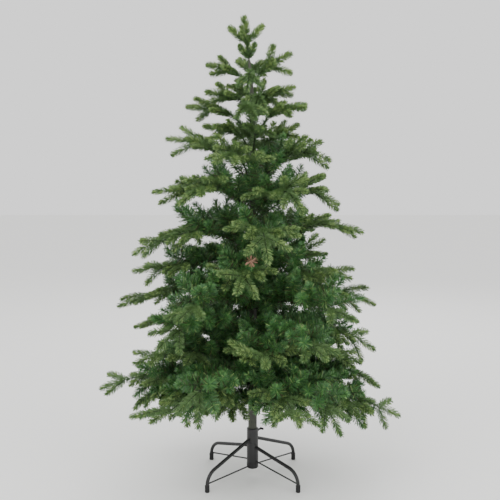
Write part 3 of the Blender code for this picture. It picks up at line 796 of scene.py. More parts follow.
# Level, wedge and tier of a bough to the values of its Bend.
BENT_BY_HAND = {place: Bend(*values) for place, values in {
    (0, 0, 0): (20, -4, 45, -10, 0.8), (0, 0, 1): (-8, -18, -30, None, 1.1),
    (0, 3, 0): (16, 0, 15), (0, 3, 1): (-8, 0, -15, -12, 0.9),
    (0, 4, 0): (-32, 24, 15, -6, 1.3), (0, 4, 1): (20, -44, -30, None, 1.1),
    (0, 5, 0): (-8, 32, 0, -6, 1.07), (0, 5, 1): (8, -6, -15, None, 1.0, 0.055),
    (1, 0, 0): (8, -6, 15, 4, 0.9), (1, 0, 1): (-8, -6, 45, -10, 1.1, 0.03),
    (1, 2, 1): (24, 16, 0, -16, 1.2, 0.04), (1, 3, 0): (8, 12, 0), (1, 4, 0): (-48, 30, 0, 0, 1.3),
    (2, 0, 0): (8, 13, 15, -14, 1.2, 0.03), (2, 0, 1): (-8, 0, -15, None, 1.0, 0.01),
    (2, 2, 1): (0, 24, -30), (2, 3, 0): (-32, -6, -30, -14, 1.3),
    (2, 3, 1): (-6, 40, 0, None, 1.0, -0.03),
    (3, 0, 0): (-4, 22, -15, -4, 0.9, 0.012), (3, 0, 1): (8, 6, 28, 16, 1.1),
    (3, 2, 1): (16, 24, -15, None, 1.3, 0.02), (3, 3, 0): (-8, 6, 30), (3, 4, 1): (8, -30, -15, None, 0.9),
    (4, 0, 0): (0, 16, -40, -14, 1.0, 0.02), (4, 0, 1): (0, 24, 30, None, 0.9),
    (4, 2, 0): (16, 24, -30, -44, 1.2, 0.02), (4, 2, 1): (0, 18, 30, None, 1.0, 0.01),
    (4, 3, 0): (-16, 10, 0, -20, 0.9, 0.05),
    (5, 0, 0): (-24, 18, 30, -24, 1.0, 0.02), (5, 0, 1): (16, 18, -45, -16, 1.1, 0.02),
    (5, 2, 0): (8, 18, 15, -14, 1.0, 0.01), (5, 2, 1): (-8, 42, 45, -6, 1.0, 0.02),
    (5, 3, 0): (32, -8, 0, -14, 0.9, 0.01), (5, 3, 1): (-34, -14, 0, -22, 0.8, 0.03),
    (6, 0, 0): (-16, 24, -45, -26, 1.1, 0.01), (6, 2, 0): (8, 30, 30, -8, 1.0, 0.01),
    (6, 3, 0): (-10, -34, 0, -30, 0.8, 0.03),
}.items()}

# Fans under the lowest boughs: station, swing and rise. The two boughs in front carry more of them.
LOW_PAIR = ((0.40, -38.0, -25.0), (0.40, 38.0, -25.0))
LOW_FANS = {
    4: (*LOW_PAIR, (0.30, 58.0, -34.0), (0.19, 44.0, -40.0)),
    5: ((0.40, -15.0, -25.0), (0.40, 38.0, -25.0), (0.22, -34.0, -25.0)),
}

# Front boughs with only one spray, whose low share of fresh needles is painted shade; the large ones carry
# film nearly to their ends.
SPARE = {(0, 4, 1), (0, 5, 1), (1, 3, 1), (1, 4, 1), (2, 1, 0), (2, 2, 0), (4, 3, 1), (5, 3, 0), (5, 3, 1),
         (6, 3, 0)}


class Bough:
    """A limb that leaves the pole and bends evenly from its rise to its droop."""

    ROD_CORNER = math.sin(math.radians(60))
    STEM_RADIUS = 0.0030
    WRAPPED_RADIUS = 0.0050
    SMALL_REACH = 0.20
    SAG_PROFILE = 6.75          # makes the greatest sag one: s (1 - s)^2 has its peak of 4/27 at a third

    def __init__(self, tier: Tier, azimuth: float, place: tuple = ()) -> None:
        """Work out the bend.

        Args:
            tier: the ring it belongs to.
            azimuth: where it points, in radians.
            place: its level, wedge and tier, for a bough that grows.
        """
        self.azimuth = azimuth
        self.place = place
        east = math.cos(azimuth)
        reach = tier.reach + tier.skew * east * abs(east)
        tip = tier.tip + tier.tilt * east + tier.lift * math.sin(azimuth) ** 2
        self.large = tier.reach > self.SMALL_REACH
        self.lowest = tier is LEVELS[0].tiers[0]
        self.spare = place in SPARE
        self.density = 1.0 if self.large else 1.4
        self.sag = tier.sag[0] + (tier.sag[1] - tier.sag[0]) * (1 + east) / 2
        self.bend = BENT_BY_HAND.get(place, Bend(rise=8.0 if self.lowest else 0.0))
        self.spray = min(0.095, 0.050 + 0.18 * tier.reach)
        self.bend_end = math.radians(tier.droop)
        end = Vector((reach - self.spray * math.cos(self.bend_end),
                      tip - self.spray * math.sin(self.bend_end)))
        self.start = Vector((POLE.radius(tier.root) + GAP, tier.root))
        chord = end - self.start
        self.bend_start = 2 * math.atan2(chord.y, chord.x) - self.bend_end
        stem = self.STEM_RADIUS if self.large else self.WRAPPED_RADIUS
        self.start.x += self.ROD_CORNER * stem * math.sin(self.bend_start)
        half = (self.bend_end - self.bend_start) / 2
        self.length = chord.length * half / math.sin(half)
        self.curvature = 2 * half / self.length

    def frame(self, station: float) -> Matrix:
        """Find a place along the limb.

        Args:
            station: its distance along the limb.

        Returns:
            Its frame, with X along the limb, Y level and Z up from it.
        """
        angle = self.bend_start + self.curvature * station
        radius = self.start.x + (math.sin(angle) - math.sin(self.bend_start)) / self.curvature
        height = self.start.y + (math.cos(self.bend_start) - math.cos(angle)) / self.curvature
        share = station / self.length
        sag = self.SAG_PROFILE * self.sag
        height -= sag * share * (1 - share) ** 2 + self.bend.drop * share * share
        angle -= (sag * (1 - share) * (1 - 3 * share) + 2 * self.bend.drop * share) / self.length
        axis = Matrix.Translation((POLE.lean(self.start.y), 0.0, 0.0))
        turn = Matrix.Rotation(self.azimuth, 4, "Z")
        return axis @ turn @ Matrix.Translation((radius, 0.0, height)) @ Matrix.Rotation(-angle, 4, "Y")

    def height_over(self, radius: float) -> float:
        """Find the limb's height, where it is carried straight on past its ends.

        Args:
            radius: distance from the pole's axis.

        Returns:
            The height there.
        """
        sine = math.sin(self.bend_start) + self.curvature * max(0.0, radius - self.start.x)
        if sine <= math.sin(self.bend_end):
            end_sine = math.sin(self.bend_end) - math.sin(self.bend_start)
            end_radius = self.start.x + end_sine / self.curvature
            fall = (math.cos(self.bend_start) - math.cos(self.bend_end)) / self.curvature
            return self.start.y + fall + (radius - end_radius) * math.tan(self.bend_end)
        cosine = math.sqrt(1 - sine * sine)
        return self.start.y + (math.cos(self.bend_start) - cosine) / self.curvature


@dataclass
class Space:
    """The wedge between the tiers below and above that one mass keeps to."""

    number: int
    azimuth: float
    margin: float = 0.002
    canopy_bottom: float = 0.165

    def ceiling(self, number: int, azimuth: float, radius: float) -> float:
        """Find the height of the boundary over a level.

        Args:
            number: the level's number, from 0.
            azimuth: the direction from the pole, in radians.
            radius: the distance from it.

        Returns:
            The height.
        """
        level = LEVELS[number]
        if number + 1 == len(LEVELS):
            return POLE.top + max(0.0, radius - 0.035) / 0.9
        below = Bough(level.tiers[-1], azimuth).height_over(radius)
        above = Bough(LEVELS[number + 1].tiers[0], azimuth).height_over(radius)
        return below + level.share * (above - below)

    def holds(self, point: Vector) -> bool:
        """Test whether a point is inside, clear of the walls and of the pole.

        Args:
            point: the point.

        Returns:
            Whether it is.
        """
        across = point.x - POLE.lean(point.z)
        radius = math.hypot(across, point.y)
        azimuth = math.atan2(point.y, across)
        half = math.pi / LEVELS[self.number].wedges
        off = abs(math.remainder(azimuth - self.azimuth, TURN))
        if off > half or radius * math.sin(half - off) < self.margin:
            return False
        if radius < POLE.radius(point.z - self.margin) + self.margin:
            return False
        if point.z > self.ceiling(self.number, azimuth, radius) - self.margin:
            return False
        if self.number == 0:
            return point.z > self.canopy_bottom
        return point.z > self.ceiling(self.number - 1, azimuth, radius) + self.margin

    def fits(self, root: Matrix, reach: float, width: float, widest: float = 0.6) -> bool:
        """Test whether a flat shape stays inside.

        Args:
            root: the frame that it leaves.
            reach: its length.
            width: its width.
            widest: where it is widest, in parts of its length.

        Returns:
            Whether it does.
        """
        places = ((reach, 0), (reach * widest, width / 2), (reach * widest, -width / 2))
        return all(self.holds(root @ Vector((x, y, 0))) for x, y in places)


# ------------------------------------------------------------------ canopy


@dataclass(frozen=True)
class Fan:
    """Three fingers that part at the end of a stalk; angles are in degrees."""

    length: float               # of the middle finger
    light: float                # share of fresh needles towards the ends
    swing: float = 0.0
    rise: float = 0.0
    roll: float = 0.0
    stalk: float = 0.0
    density: float = 1.0        # needles in parts of the usual number
    spread: float = 1.0         # angle between the fingers in parts of the usual one


@dataclass
class Canopy:
    """All foliage: boughs, moulded sprays and film brushes, level by level."""

    spray: Spray = Spray()
    brush: Brush = Brush()
    wire: tuple = (0.0030, 0.0017)          # radii of a limb's wire at the pole and at its end
    wire_steps: int = 14
    twist: float = 0.16                     # how far two tiers are turned apart, in parts of a wedge
    end_roll: tuple = (-14.0, 14.0)
    end_light: tuple = (0.28, 0.05)         # at the lowest level, and what each level adds
    side_light: tuple = (0.22, 0.05)
    # Share of fresh needles on the spare front boughs, kept low as painted shade.
    spare_light: float = 0.12
    side_share: float = 0.93                # an outer finger of a fan, in parts of the middle one
    pair_station: tuple = (0.58, 0.68)
    pair_swing: tuple = (44.0, 54.0)
    pair_rise: tuple = (-12.0, 6.0)
    pair_roll: float = 25.0
    pair_light: float = 0.45
    eases: tuple = (1.0, 0.8, 0.6, 0.4, 0.2)
    brush_spacing: float = 0.130
    brush_outer: float = 0.52
    brush_inner: float = 0.10
    brush_swing: tuple = (30.0, 50.0)
    brush_rise: tuple = (36.0, 58.0)
    brush_length: tuple = (0.110, 0.140)
    finger_angle: float = 40.0
    finger_droop: tuple = (2.0, 26.0)
    fill_spacing: float = 0.0110
    fill_swing: tuple = (12.0, 64.0)
    fill_rise: tuple = (14.0, 74.0)
    fill_fall: tuple = (-46.0, -6.0)        # rise of the film that hangs under the lowest level
    fill_length: tuple = (0.085, 0.120)
    film_share: tuple = (1.0, 1.0, 1.0, 0.95, 0.50, 0.0, 0.0)
    film_reach: tuple = (0.72, 0.70, 0.64, 0.58, 0.50, 0.0, 0.0)
    spare_reach: float = 0.90
    wound: tuple = ((0.05, 0.00055), (0.50, 0.00080))   # start and spacing on small and on large limbs
    wound_size: tuple = (0.72, 0.22)        # of a needle at the pole, and what the limb's length adds
    wound_olive: float = 0.3
    inner_strip: FilmStrip = FilmStrip(0.020, 0.0022)
    inner_film: tuple = (0.04, 0.56)        # where the short film starts and ends
    inner_spacing: float = 0.0018           # length of limb to each of its strips
    inner_brown: float = 0.30
    small_pair: tuple = (0.84, 0.62)        # station, and length in parts of the last spray
    large_pair: tuple = (0.82, 0.84, -4.0)  # the same, and the rise
    hanging: tuple = (0.90, -44.0)          # length and rise of the fingers under the lowest level
    low_fan: tuple = (0.076, 0.4)           # length and light of the fans there
    bud_level: int = 2
    leader_fans: tuple = ((0.09, Fan(0.076, 0.6, roll=90.0, density=1.9, spread=1.15)),
                          (0.15, Fan(0.054, 0.5, density=1.4)))     # each with its distance below the top

    needles: Sheaf = field(init=False)
    film: Sheaf = field(init=False)
    wires: Sheaf = field(init=False)
    space: Space = field(init=False)            # what the mass that grows keeps to
    rule: random.Random = field(init=False)     # the random numbers that the solids follow too
    fine: np.random.Generator = field(init=False)
    bough: Bough = field(init=False)            # the limb that grows

    def build(self) -> None:
        """Build every level and the leader."""
        for number, level in enumerate(LEVELS):
            self.open_level(str(number + 1))
            for wedge in range(level.wedges):
                self.grow_wedge(number, wedge)
            if number == self.bud_level:
                self.grow_bud()
            names = range(1, level.wedges + 1)
            limbs = [f"bough_{name}" for name in names] if number == 0 else []
            self.close_level([f"foliage_{number + 1}_{name}" for name in names], limbs)
        self.open_level("top")
        self.grow_leader()
        self.close_level(["foliage_top"], [])

    def open_level(self, name: str) -> None:
        """Start the three pieces of a level."""
        kinds = ("moulded_needles", "film_brushes", "bough_wires")
        self.needles, self.film, self.wires = (Sheaf(f"{kind}_{name}", list(Tone)) for kind in kinds)

    def close_level(self, nodes: list[str], limbs: list[str]) -> None:
        """Turn the gathered faces into pieces.

        Args:
            nodes: the foliage solids that they stand for.
            limbs: the bare limbs that the wires also stand for.
        """
        self.needles.build("needles", nodes, None)
        if self.film.points:
            self.film.build("needles", nodes, None)
        self.wires.build("wrapped_wire", nodes + limbs, 60.0)

    def draw_from(self, seed: int) -> None:
        """Start the random numbers again."""
        self.rule, self.fine = random.Random(seed), np.random.default_rng(seed)

    def grow_wedge(self, number: int, wedge: int) -> None:
        """Grow the boughs of one mass.

        Args:
            number: the level's number, from 0.
            wedge: the mass's number in it, from 0.
        """
        level = LEVELS[number]
        centre = math.remainder(math.radians(level.phase) + TURN * wedge / level.wedges, TURN)
        self.draw_from(SEED + 100 * number + wedge)
        self.space = Space(number, centre)
        twist = self.twist * TURN / level.wedges
        turns = (-twist, twist) if len(level.tiers) == 2 else (0.0,)
        for rank, (tier, turn) in enumerate(zip(level.tiers, turns)):
            self.bough = Bough(tier, centre + turn, (number, wedge, rank))
            self.grow_bough()

    def grow_bough(self) -> None:
        """Grow one bough: its wire, the needles wound round it, sprays and brushes."""
        bough, rule, steps, level = self.bough, self.rule, self.wire_steps, self.space.number
        stem = Stem.through([bough.frame(bough.length * step / steps) for step in range(steps + 1)])
        self.wires.add(*tube(stem, np.linspace(*self.wire, steps + 1), 8), Tone.BARK)
        self.wind(stem)
        bend = bough.bend
        roll = rule.uniform(*self.end_roll) * (1.6 if bough.large else 3.4)
        # Spare front boughs take few fresh needles: painted shade.
        light = self.spare_light if bough.spare else self.end_light[0] + self.end_light[1] * level
        self.grow_fan(bough.frame(bough.length), Fan(
            bough.spray * bend.length, light, bend.swing, bend.rise,
            roll if bend.roll is None else bend.roll, density=bough.density))
        behind = bough.frame(bough.length * rule.uniform(*self.pair_station))
        for side in (-1, 1):
            swing = side * rule.uniform(*self.pair_swing)
            rise = rule.uniform(*self.pair_rise)
            roll = side * rule.uniform(0, self.pair_roll)
            if not bough.spare:
                self.grow_side(behind, swing, rise if bend.side_rise is None else bend.side_rise, roll)
        if bough.large:
            self.grow_brushes()
            self.grow_twigs()
        elif not bough.spare:
            self.grow_pair(*self.small_pair)

    def wind(self, stem: Stem) -> None:
        """Wind needles round the outer part of a bough's wire, and short film round the inner part.

        Args:
            stem: the wire.
        """
        fine, bough = self.fine, self.bough
        start, spacing = self.wound[bough.large]
        rows = int(bough.length * (1 - start) / spacing)
        shares = np.linspace(start, 0.99, rows)
        size = self.wound_size[0] + self.wound_size[1] * shares
        skin, heading = self.spray.needle.cover(stem, 0.0020, shares, np.full(rows, 1.0), size, fine)
        # Wound needles that point down take the grey-green: painted shade under the limb.
        marks = np.where(heading[:, 2] < -0.2, NUMBER[Tone.SHADE], NUMBER[Tone.LEAF])
        marks[fine.uniform(0, 1, rows) < self.wound_olive] = NUMBER[Tone.OLIVE]
        self.needles.add(*skin, np.repeat(marks, len(self.spray.needle.shape)))
        if bough.large:
            rows = int(bough.length / self.inner_spacing)
            shares = np.linspace(*self.inner_film, rows)
            skin, _ = self.inner_strip.cover(stem, 0.0026, shares, np.full(rows, 1.15), np.ones(rows), fine)
            brown = fine.uniform(0, 1, rows) < self.inner_brown
            marks = np.where(brown, NUMBER[Tone.BROWN], NUMBER[Tone.DEEP])
            self.film.add(*skin, np.repeat(marks, len(self.inner_strip.shape)))

    def grow_fan(self, root: Matrix, fan: Fan) -> None:
        """Add a fan of three fingers, with its stalk.

        Args:
            root: the frame that the stalk leaves.
            fan: its sizes.
        """
        fine = self.fine
        base = turned(root, fan.swing, fan.rise, fan.roll)
        fork = base @ Matrix.Translation((fan.stalk, 0, 0))
        if fan.stalk > 0:
            self.grow_finger(Stem.bent(base, fan.stalk, 0.0), Tone.LEAF, fan.light * 0.3, fan.density, 0.10)
        for side, share in ((-1, self.side_share), (0, 1.0), (1, self.side_share)):
            angle = side * fan.spread * (self.finger_angle + fine.uniform(0, 10))
            start = turned(fork, angle, fine.uniform(-14, 10))
            sweep = -side * fine.uniform(0, 10)
            stem = Stem.bent(start, fan.length * share, fine.uniform(*self.finger_droop), sweep)
            self.grow_finger(stem, Tone.OLIVE, fan.light, fan.density)

    def grow_finger(self, stem: Stem, tone: Tone, light: float, density: float, bare: float = 0.03) -> None:
        """Add one finger; the arguments are those of Spray.grow."""
        self.spray.grow(self.needles, stem, tone, light, self.fine, density, bare)

    def grow_side(self, root: Matrix, swing: float, rise: float, roll: float) -> None:
        """Add a side fan, or a finger on a small bough, eased in until it fits its space.

        Args:
            root: where it leaves the limb.
            swing: how far it is swung aside, in degrees.
            rise: how far it is raised.
            roll: how far it is rolled.
        """
        bough = self.bough
        stalk = bough.spray * 0.55
        length = bough.spray * 0.86
        width = length * 1.2 if bough.large else 0.020
        reach = stalk + length if bough.large else bough.spray * 0.9
        light = self.side_light[0] + self.side_light[1] * self.space.number
        for ease in self.eases:
            aimed = (swing * ease, rise * ease + 10 * (1 - ease), roll * ease)
            start = turned(root, *aimed)
            if not self.space.fits(start, reach, width, 0.72):
                continue
            if bough.large:
                self.grow_fan(root, Fan(length, light, *aimed, stalk))
            else:
                self.grow_finger(Stem.bent(start, reach, self.fine.uniform(-6, 8)), Tone.OLIVE, 0.5,
                                 bough.density)
            return

    def grow_pair(self, station: float, share: float, rise: float = 4.0) -> None:
        """Add single fingers on both sides of the bough.

        Args:
            station: where they leave it, in parts of its length.
            share: their length in parts of the limb's last spray.
            rise: how far they are raised, in degrees.
        """
        fine, bough = self.fine, self.bough
        root = bough.frame(bough.length * station)
        for side in (-1, 1):
            length = bough.spray * share * fine.uniform(0.92, 1.08)
            swing = side * fine.uniform(40, 52)
            lift = rise + fine.uniform(-8, 8)
            for ease in self.eases:
                start = turned(root, swing * ease, lift)
                if self.space.fits(start, length, 0.018):
                    stem = Stem.bent(start, length, fine.uniform(-6, 8), -side * fine.uniform(3, 14))
                    self.grow_finger(stem, Tone.OLIVE, self.pair_light, bough.density)
                    break

    def grow_twigs(self) -> None:
        """Add the finer fingers between the end fan and the inner film; the lowest level's hang."""
        bough = self.bough
        if not bough.spare:
            self.grow_pair(*self.large_pair)
        if self.space.number > 0:
            return
        for station in (0.58, 0.70, 0.84) if bough.lowest else (0.52, 0.68):
            self.grow_pair(station, *self.hanging)
        if not bough.lowest:
            self.grow_fan(bough.frame(bough.length * 0.50), Fan(*self.low_fan, 0.0, -46.0, stalk=0.056))
            return
        for station, swing, rise in LOW_FANS.get(bough.place[1], LOW_PAIR):
            self.grow_fan(bough.frame(bough.length * station),
                          Fan(*self.low_fan, swing, rise, swing * 0.4, 0.050))

    def grow_brushes(self) -> None:
        """Add the solids' brushes, which stand up along the inner part, and finer ones beside them."""
        fine, rule, bough, level = self.fine, self.rule, self.bough, self.space.number
        outer = bough.length * self.brush_outer
        inner = bough.length * self.brush_inner
        count = round(bough.length / self.brush_spacing)
        for number in range(count):
            station = outer + (inner - outer) * number / max(1, count - 1)
            swing = (1 if number % 2 else -1) * rule.uniform(*self.brush_swing)
            rise = rule.uniform(*self.brush_rise)
            length = rule.uniform(*self.brush_length)
            rule.uniform(0, 90)     # the solid's roll, which a round brush has no use for
            self.grow_brush(station, swing, rise, length)
        reach = self.spare_reach if bough.spare else self.film_reach[level]
        fill = round(bough.length * reach / self.fill_spacing)
        for number in range(fill):
            share = (number + fine.uniform(0, 1)) / fill
            station = bough.length * (0.05 + reach * share)
            swing = (-1) ** number * fine.uniform(*self.fill_swing)
            rise = fine.uniform(*self.fill_rise) * (1 - 0.35 * share)
            if level == 0 and number % 5 < 2 and share > 0.2:
                rise = fine.uniform(*self.fill_fall)
            length = fine.uniform(*self.fill_length)
            if fine.uniform(0, 1) < self.film_share[level]:
                self.grow_brush(station, swing, rise, length)

    def grow_brush(self, station: float, swing: float, rise: float, length: float) -> None:
        """Add one brush, lowered until it fits its space.

        Args:
            station: where it leaves the limb.
            swing: how far it is swung aside, in degrees.
            rise: how far it is raised.
            length: its length.
        """
        fine, root = self.fine, self.bough.frame(station)
        for lower in range(5):
            start = turned(root, swing, rise - 13 * lower)
            if self.space.fits(start, length, 0.010):
                stem = Stem.bent(start, length, fine.uniform(-14, 6), fine.uniform(-10, 10))
                self.brush.grow(self.film, stem, fine)
                return

    def grow_bud(self) -> None:
        """Grow the one bare twig in front of the pole that ends in a star of tan film."""
        fine = np.random.default_rng(SEED + 50)
        root = Matrix.Translation((0.0, -0.012, 0.690)) @ Matrix.Rotation(-math.pi / 2, 4, "Z")
        twig = Stem.bent(turned(root, -1.0, 15.0), 0.262, 4.0)
        self.wires.add(*tube(twig, np.linspace(0.0016, 0.0011, 6), 6), Tone.BARK)
        for strip, shares, lean, tone in (
                (FilmStrip(0.020, 0.0034), np.linspace(0.975, 1.0, 22), 1.20, Tone.TAN),
                (FilmStrip(0.012, 0.0024), np.linspace(0.10, 0.94, 90), 1.0, Tone.BROWN)):
            ones = np.ones(len(shares))
            self.film.add(*strip.cover(twig, 0.0010, shares, lean * ones, ones, fine)[0], tone)

    def grow_leader(self) -> None:
        """Grow the upright top with its ring of short fingers."""
        self.draw_from(SEED + 999)
        foot = Vector((POLE.lean(POLE.top), 0.0, POLE.top + GAP))
        top = Vector((POLE.lean(POLE.lean_top), 0.0, POLE.lean_top))
        upright = top - foot
        along = upright.normalized()
        level = Vector((0, 0, 1)).cross(along).normalized()
        turn = Matrix((along, level, along.cross(level))).transposed().to_4x4()
        stem = Stem.bent(Matrix.Translation(foot) @ turn, upright.length, 0.0)
        self.wires.add(*tube(stem, np.linspace(0.0032, 0.0020, 6), 8), Tone.BARK)
        self.grow_finger(stem, Tone.LEAF, 0.3, 1.4)
        for below, fan in self.leader_fans:
            self.grow_fan(Matrix.Translation(top - upright * below) @ turn, fan)
        ring = Matrix.Translation(foot + upright * 0.06) @ turn
        for number in range(4):
            root = ring @ Matrix.Rotation(TURN * (number + 0.5) / 4, 4, "X")
            start = turned(root, self.rule.uniform(32, 44), 0.0)
            self.grow_finger(Stem.bent(start, 0.052, 0.0), Tone.LEAF, 0.35, 1.4)


# ------------------------------------------------------------------ pole and stand


@dataclass
class Pole:
    """The stepped pole: three tubes pushed together, drawn as one skin."""

    sizes: PoleSizes = POLE
    segments: int = 40
    row: float = 0.02           # height of one row of faces, so that the lean is smooth
    mouth_below: float = 0.0285     # from a tube's top down to the bead rolled into its mouth
    bead: float = 0.0015        # half of the bead's height
    proud: float = 0.0005

    def build(self) -> None:
        """Build the tubes."""
        sizes = self.sizes
        radius = sizes.sections[0][0]
        profile = [(0.0, sizes.foot), (radius - 0.0008, sizes.foot), (radius, sizes.foot + 0.0008)]
        for (radius, top), (narrow, _) in zip(sizes.sections, sizes.sections[1:]):
            mouth = top - self.mouth_below
            profile += [(radius, mouth - self.bead), (radius + self.proud, mouth),
                        (radius, mouth + self.bead)]
            profile += arc((radius - 0.0012, top - 0.0002), 0.0012, 0, 90)
            profile += [(narrow + 0.0004, top + 0.0010), (narrow, top + sizes.step)]
        radius, top = sizes.sections[-1]
        profile += [(radius, top), (sizes.tip_radius, sizes.top - 0.001), (0.0, sizes.top)]
        fine = []
        for (r0, z0), (r1, z1) in zip(profile, profile[1:]):
            steps = max(1, int((z1 - z0) / self.row))
            fine += [(r0 + (r1 - r0) * k / steps, z0 + (z1 - z0) * k / steps) for k in range(steps)]
        points, faces = lathe(fine + [profile[-1]], self.segments)
        points[:, 0] += np.array([sizes.lean(z) for z in points[:, 2]])
        build_single("pole_tubes", "coated_pole", "pole", Steel.TAUPE, (points, faces), smooth=35.0)


@dataclass(frozen=True)
class Leg:
    """One leg of the stand and its brace."""

    name: str
    azimuth: float              # where it points, in degrees
    hub: float                  # height where it leaves the hub
    brace: float                # height where its brace does


@dataclass
class TubeStand:
    """The folding stand: two pairs of legs on a core and on a sleeve that turns on it."""

    core_bottom: float = 0.027
    core_top: float = 0.163
    core_floor: float = 0.040
    collar_radius: float = 0.01875
    collar_bottom: float = 0.112
    neck_radius: float = 0.0165
    end_band_radius: float = 0.0193
    end_band_top: float = 0.0455
    edge: float = 0.0015
    foot_circle: float = 0.203
    leg_radius: float = 0.00575
    leg_bend: float = 0.048
    leg_bend_end: float = 0.022
    weld_beads: int = 22
    weld_radius: float = 0.0011
    cap_radius: float = 0.0076
    cap_height: float = 0.0235
    cap_floor: float = 0.004
    cap_edge: float = 0.0022
    cap_rib: float = 0.0045     # height from one grip rib to the next
    strut_radius: float = 0.0025
    strut_foot: float = 0.0272
    strut_steps: int = 8
    screw_azimuth: float = 42.0
    screw_height: float = 0.151
    screw_radius: float = 0.003
    screw_length: float = 0.017
    thread_share: float = 0.72  # part of the screw that has a thread
    thread_pitch: float = 0.0010
    thread_depth: float = 0.0004
    knob_radius: float = 0.0037
    knob_half: float = 0.0085
    boss_reach: float = 0.0245
    boss_radius: float = 0.0058
    boss_edge: float = 0.0012
    legs: tuple = (Leg("front_left", -135.0, 0.124, 0.036), Leg("front_right", -45.0, 0.099, 0.052),
                   Leg("back_right", 45.0, 0.124, 0.036), Leg("back_left", 135.0, 0.099, 0.052))

    def build(self) -> None:
        """Build the hub and the legs."""
        self.build_core()
        self.build_sleeve()
        self.build_screw()
        for leg in self.legs:
            self.build_leg(leg)
            self.build_strut(leg)
            self.build_cap(leg)

    def build_core(self) -> None:
        """Collar, neck and darker end band, with the boss that the screw runs in."""
        bore = POLE.sections[0][0] + GAP
        e = self.edge
        profile = [(0.0, self.core_bottom), (self.end_band_radius - 3 * e, self.core_bottom)]
        profile += arc((self.end_band_radius - 3 * e, self.core_bottom + 3 * e), 3 * e, -90, 0)
        profile += arc((self.end_band_radius - e, self.end_band_top - e), e, 0, 90)
        profile += [(self.neck_radius, self.end_band_top), (self.neck_radius, self.collar_bottom)]
        profile += [(self.collar_radius - 0.0004, self.collar_bottom)]
        profile += [(self.collar_radius, self.collar_bottom + 0.0004)]
        profile += arc((self.collar_radius - e, self.core_top - e), e, 0, 90)
        profile += [(bore, self.core_top), (bore, self.core_floor), (0.0, self.core_floor)]
        core = Sheaf("stand_hub_core", [Steel.CHARCOAL, Steel.BLACK])
        points, faces = lathe(profile, 64)
        middle = points[faces].mean(axis=1)
        core.add(points, faces, (middle[:, 2] < self.end_band_top - 1e-5).astype(int))
        e = self.boss_edge
        boss = [(self.boss_radius, 0.0150), (self.boss_radius, self.boss_reach - e)]
        boss += arc((self.boss_radius - e, self.boss_reach - e), e, 0, 90) + [(0.0, self.boss_reach)]
        turn = Matrix.Rotation(math.radians(self.screw_azimuth), 4, "Z")
        aim = Matrix.Translation((0, 0, self.screw_height)) @ (turn @ Matrix.Rotation(math.pi / 2, 4, "Y"))
        core.add(*placed(lathe(boss, 32), aim), Steel.CHARCOAL)
        core.build("painted_tube", ["stand_core"])

    def build_sleeve(self) -> None:
        """The sleeve that carries the second pair of legs."""
        inner = self.neck_radius + GAP
        top = self.collar_bottom - GAP
        bottom = self.end_band_top + GAP
        e = self.edge * 0.7
        profile = [(inner, bottom), (self.collar_radius - e, bottom)]
        profile += arc((self.collar_radius - e, bottom + e), e, -90, 0)
        profile += arc((self.collar_radius - e, top - e), e, 0, 90) + [(inner, top)]
        build_single("stand_hub_sleeve", "painted_tube", "stand_sleeve", Steel.CHARCOAL,
                     lathe(profile, 64, closed=True))

    def leg_path(self, hub: float) -> list[tuple[float, float]]:
        """Find the line of a leg: straight out, round the bend, down.

        Args:
            hub: the height where it leaves the hub.

        Returns:
            Its points of (radius, height).
        """
        start = Vector((self.collar_radius + GAP, hub))
        centre = Vector((self.foot_circle - self.leg_bend, self.leg_bend_end))
        to_centre = centre - start
        slope = math.atan2(to_centre.y, to_centre.x) + math.asin(self.leg_bend / to_centre.length)
        start.x += self.leg_radius * abs(math.sin(slope))
        path = [(start.x, start.y)]
        path += arc(tuple(centre), self.leg_bend, math.degrees(math.pi / 2 + slope), 0.0, steps=20)
        return path + [(self.foot_circle, self.cap_floor + GAP)]

    @staticmethod
    def swept(path: list[tuple[float, float]], azimuth: float) -> Stem:
        """Stand a line in an upright plane.

        Args:
            path: its points of (radius, height).
            azimuth: where the plane points, in degrees.

        Returns:
            The stem along it.
        """
        turn = np.array([math.cos(math.radians(azimuth)), math.sin(math.radians(azimuth))])
        flat = np.array(path)
        points = np.column_stack([flat[:, :1] * turn, flat[:, 1]])
        along = unit(np.gradient(points, axis=0))
        side = np.tile([-turn[1], turn[0], 0.0], (len(points), 1))
        return Stem(points, along, side, np.cross(along, side))

    def build_leg(self, leg: Leg) -> None:
        """Build a bent tube leg with the weld beads at its root.

        Args:
            leg: which leg it is.
        """
        stem = self.swept(self.leg_path(leg.hub), leg.azimuth)
        skins = [tube(stem, np.full(len(stem.points), self.leg_radius), 28)]
        root, along, side, up = stem.points[0], stem.along[0], stem.side[0], stem.up[0]
        for step in range(self.weld_beads):
            angle = TURN * step / self.weld_beads
            ring = side * math.cos(angle) + up * math.sin(angle)
            out = math.sqrt(max(0.0, self.collar_radius ** 2 - (self.leg_radius * math.cos(angle)) ** 2))
            centre = root + ring * (self.leg_radius + 0.0002) - along * (self.collar_radius - out - 0.0006)
            points, faces = lathe(arc((0, 0), self.weld_radius, -90, 90, 4), 8)
            skins.append((points + centre, faces))
        build_single(f"stand_leg_{leg.name}", "painted_stand", f"leg_{leg.name}", Steel.BLACK, *skins)

    def build_strut(self, leg: Leg) -> None:
        """Build a wire strut from the hub to the inside of the leg's bend.

        Args:
            leg: which leg's it is.
        """
        hub = (self.end_band_radius if leg.brace < self.end_band_top else self.collar_radius) + GAP
        over = self.strut_foot + self.strut_radius - self.leg_bend_end
        inner_bend = math.sqrt((self.leg_bend - self.leg_radius) ** 2 - over ** 2)
        far = self.foot_circle - self.leg_bend + inner_bend - 2 * GAP
        steps = self.strut_steps
        run = [(hub + (far - hub) * k / steps, leg.brace + (self.strut_foot - leg.brace) * k / steps)
               for k in range(steps + 1)]
        skin = tube(self.swept(run, leg.azimuth), np.full(steps + 1, self.strut_radius), 20)
        build_single(f"stand_strut_{leg.name}", "painted_stand", f"strut_{leg.name}", Steel.BLACK, skin)

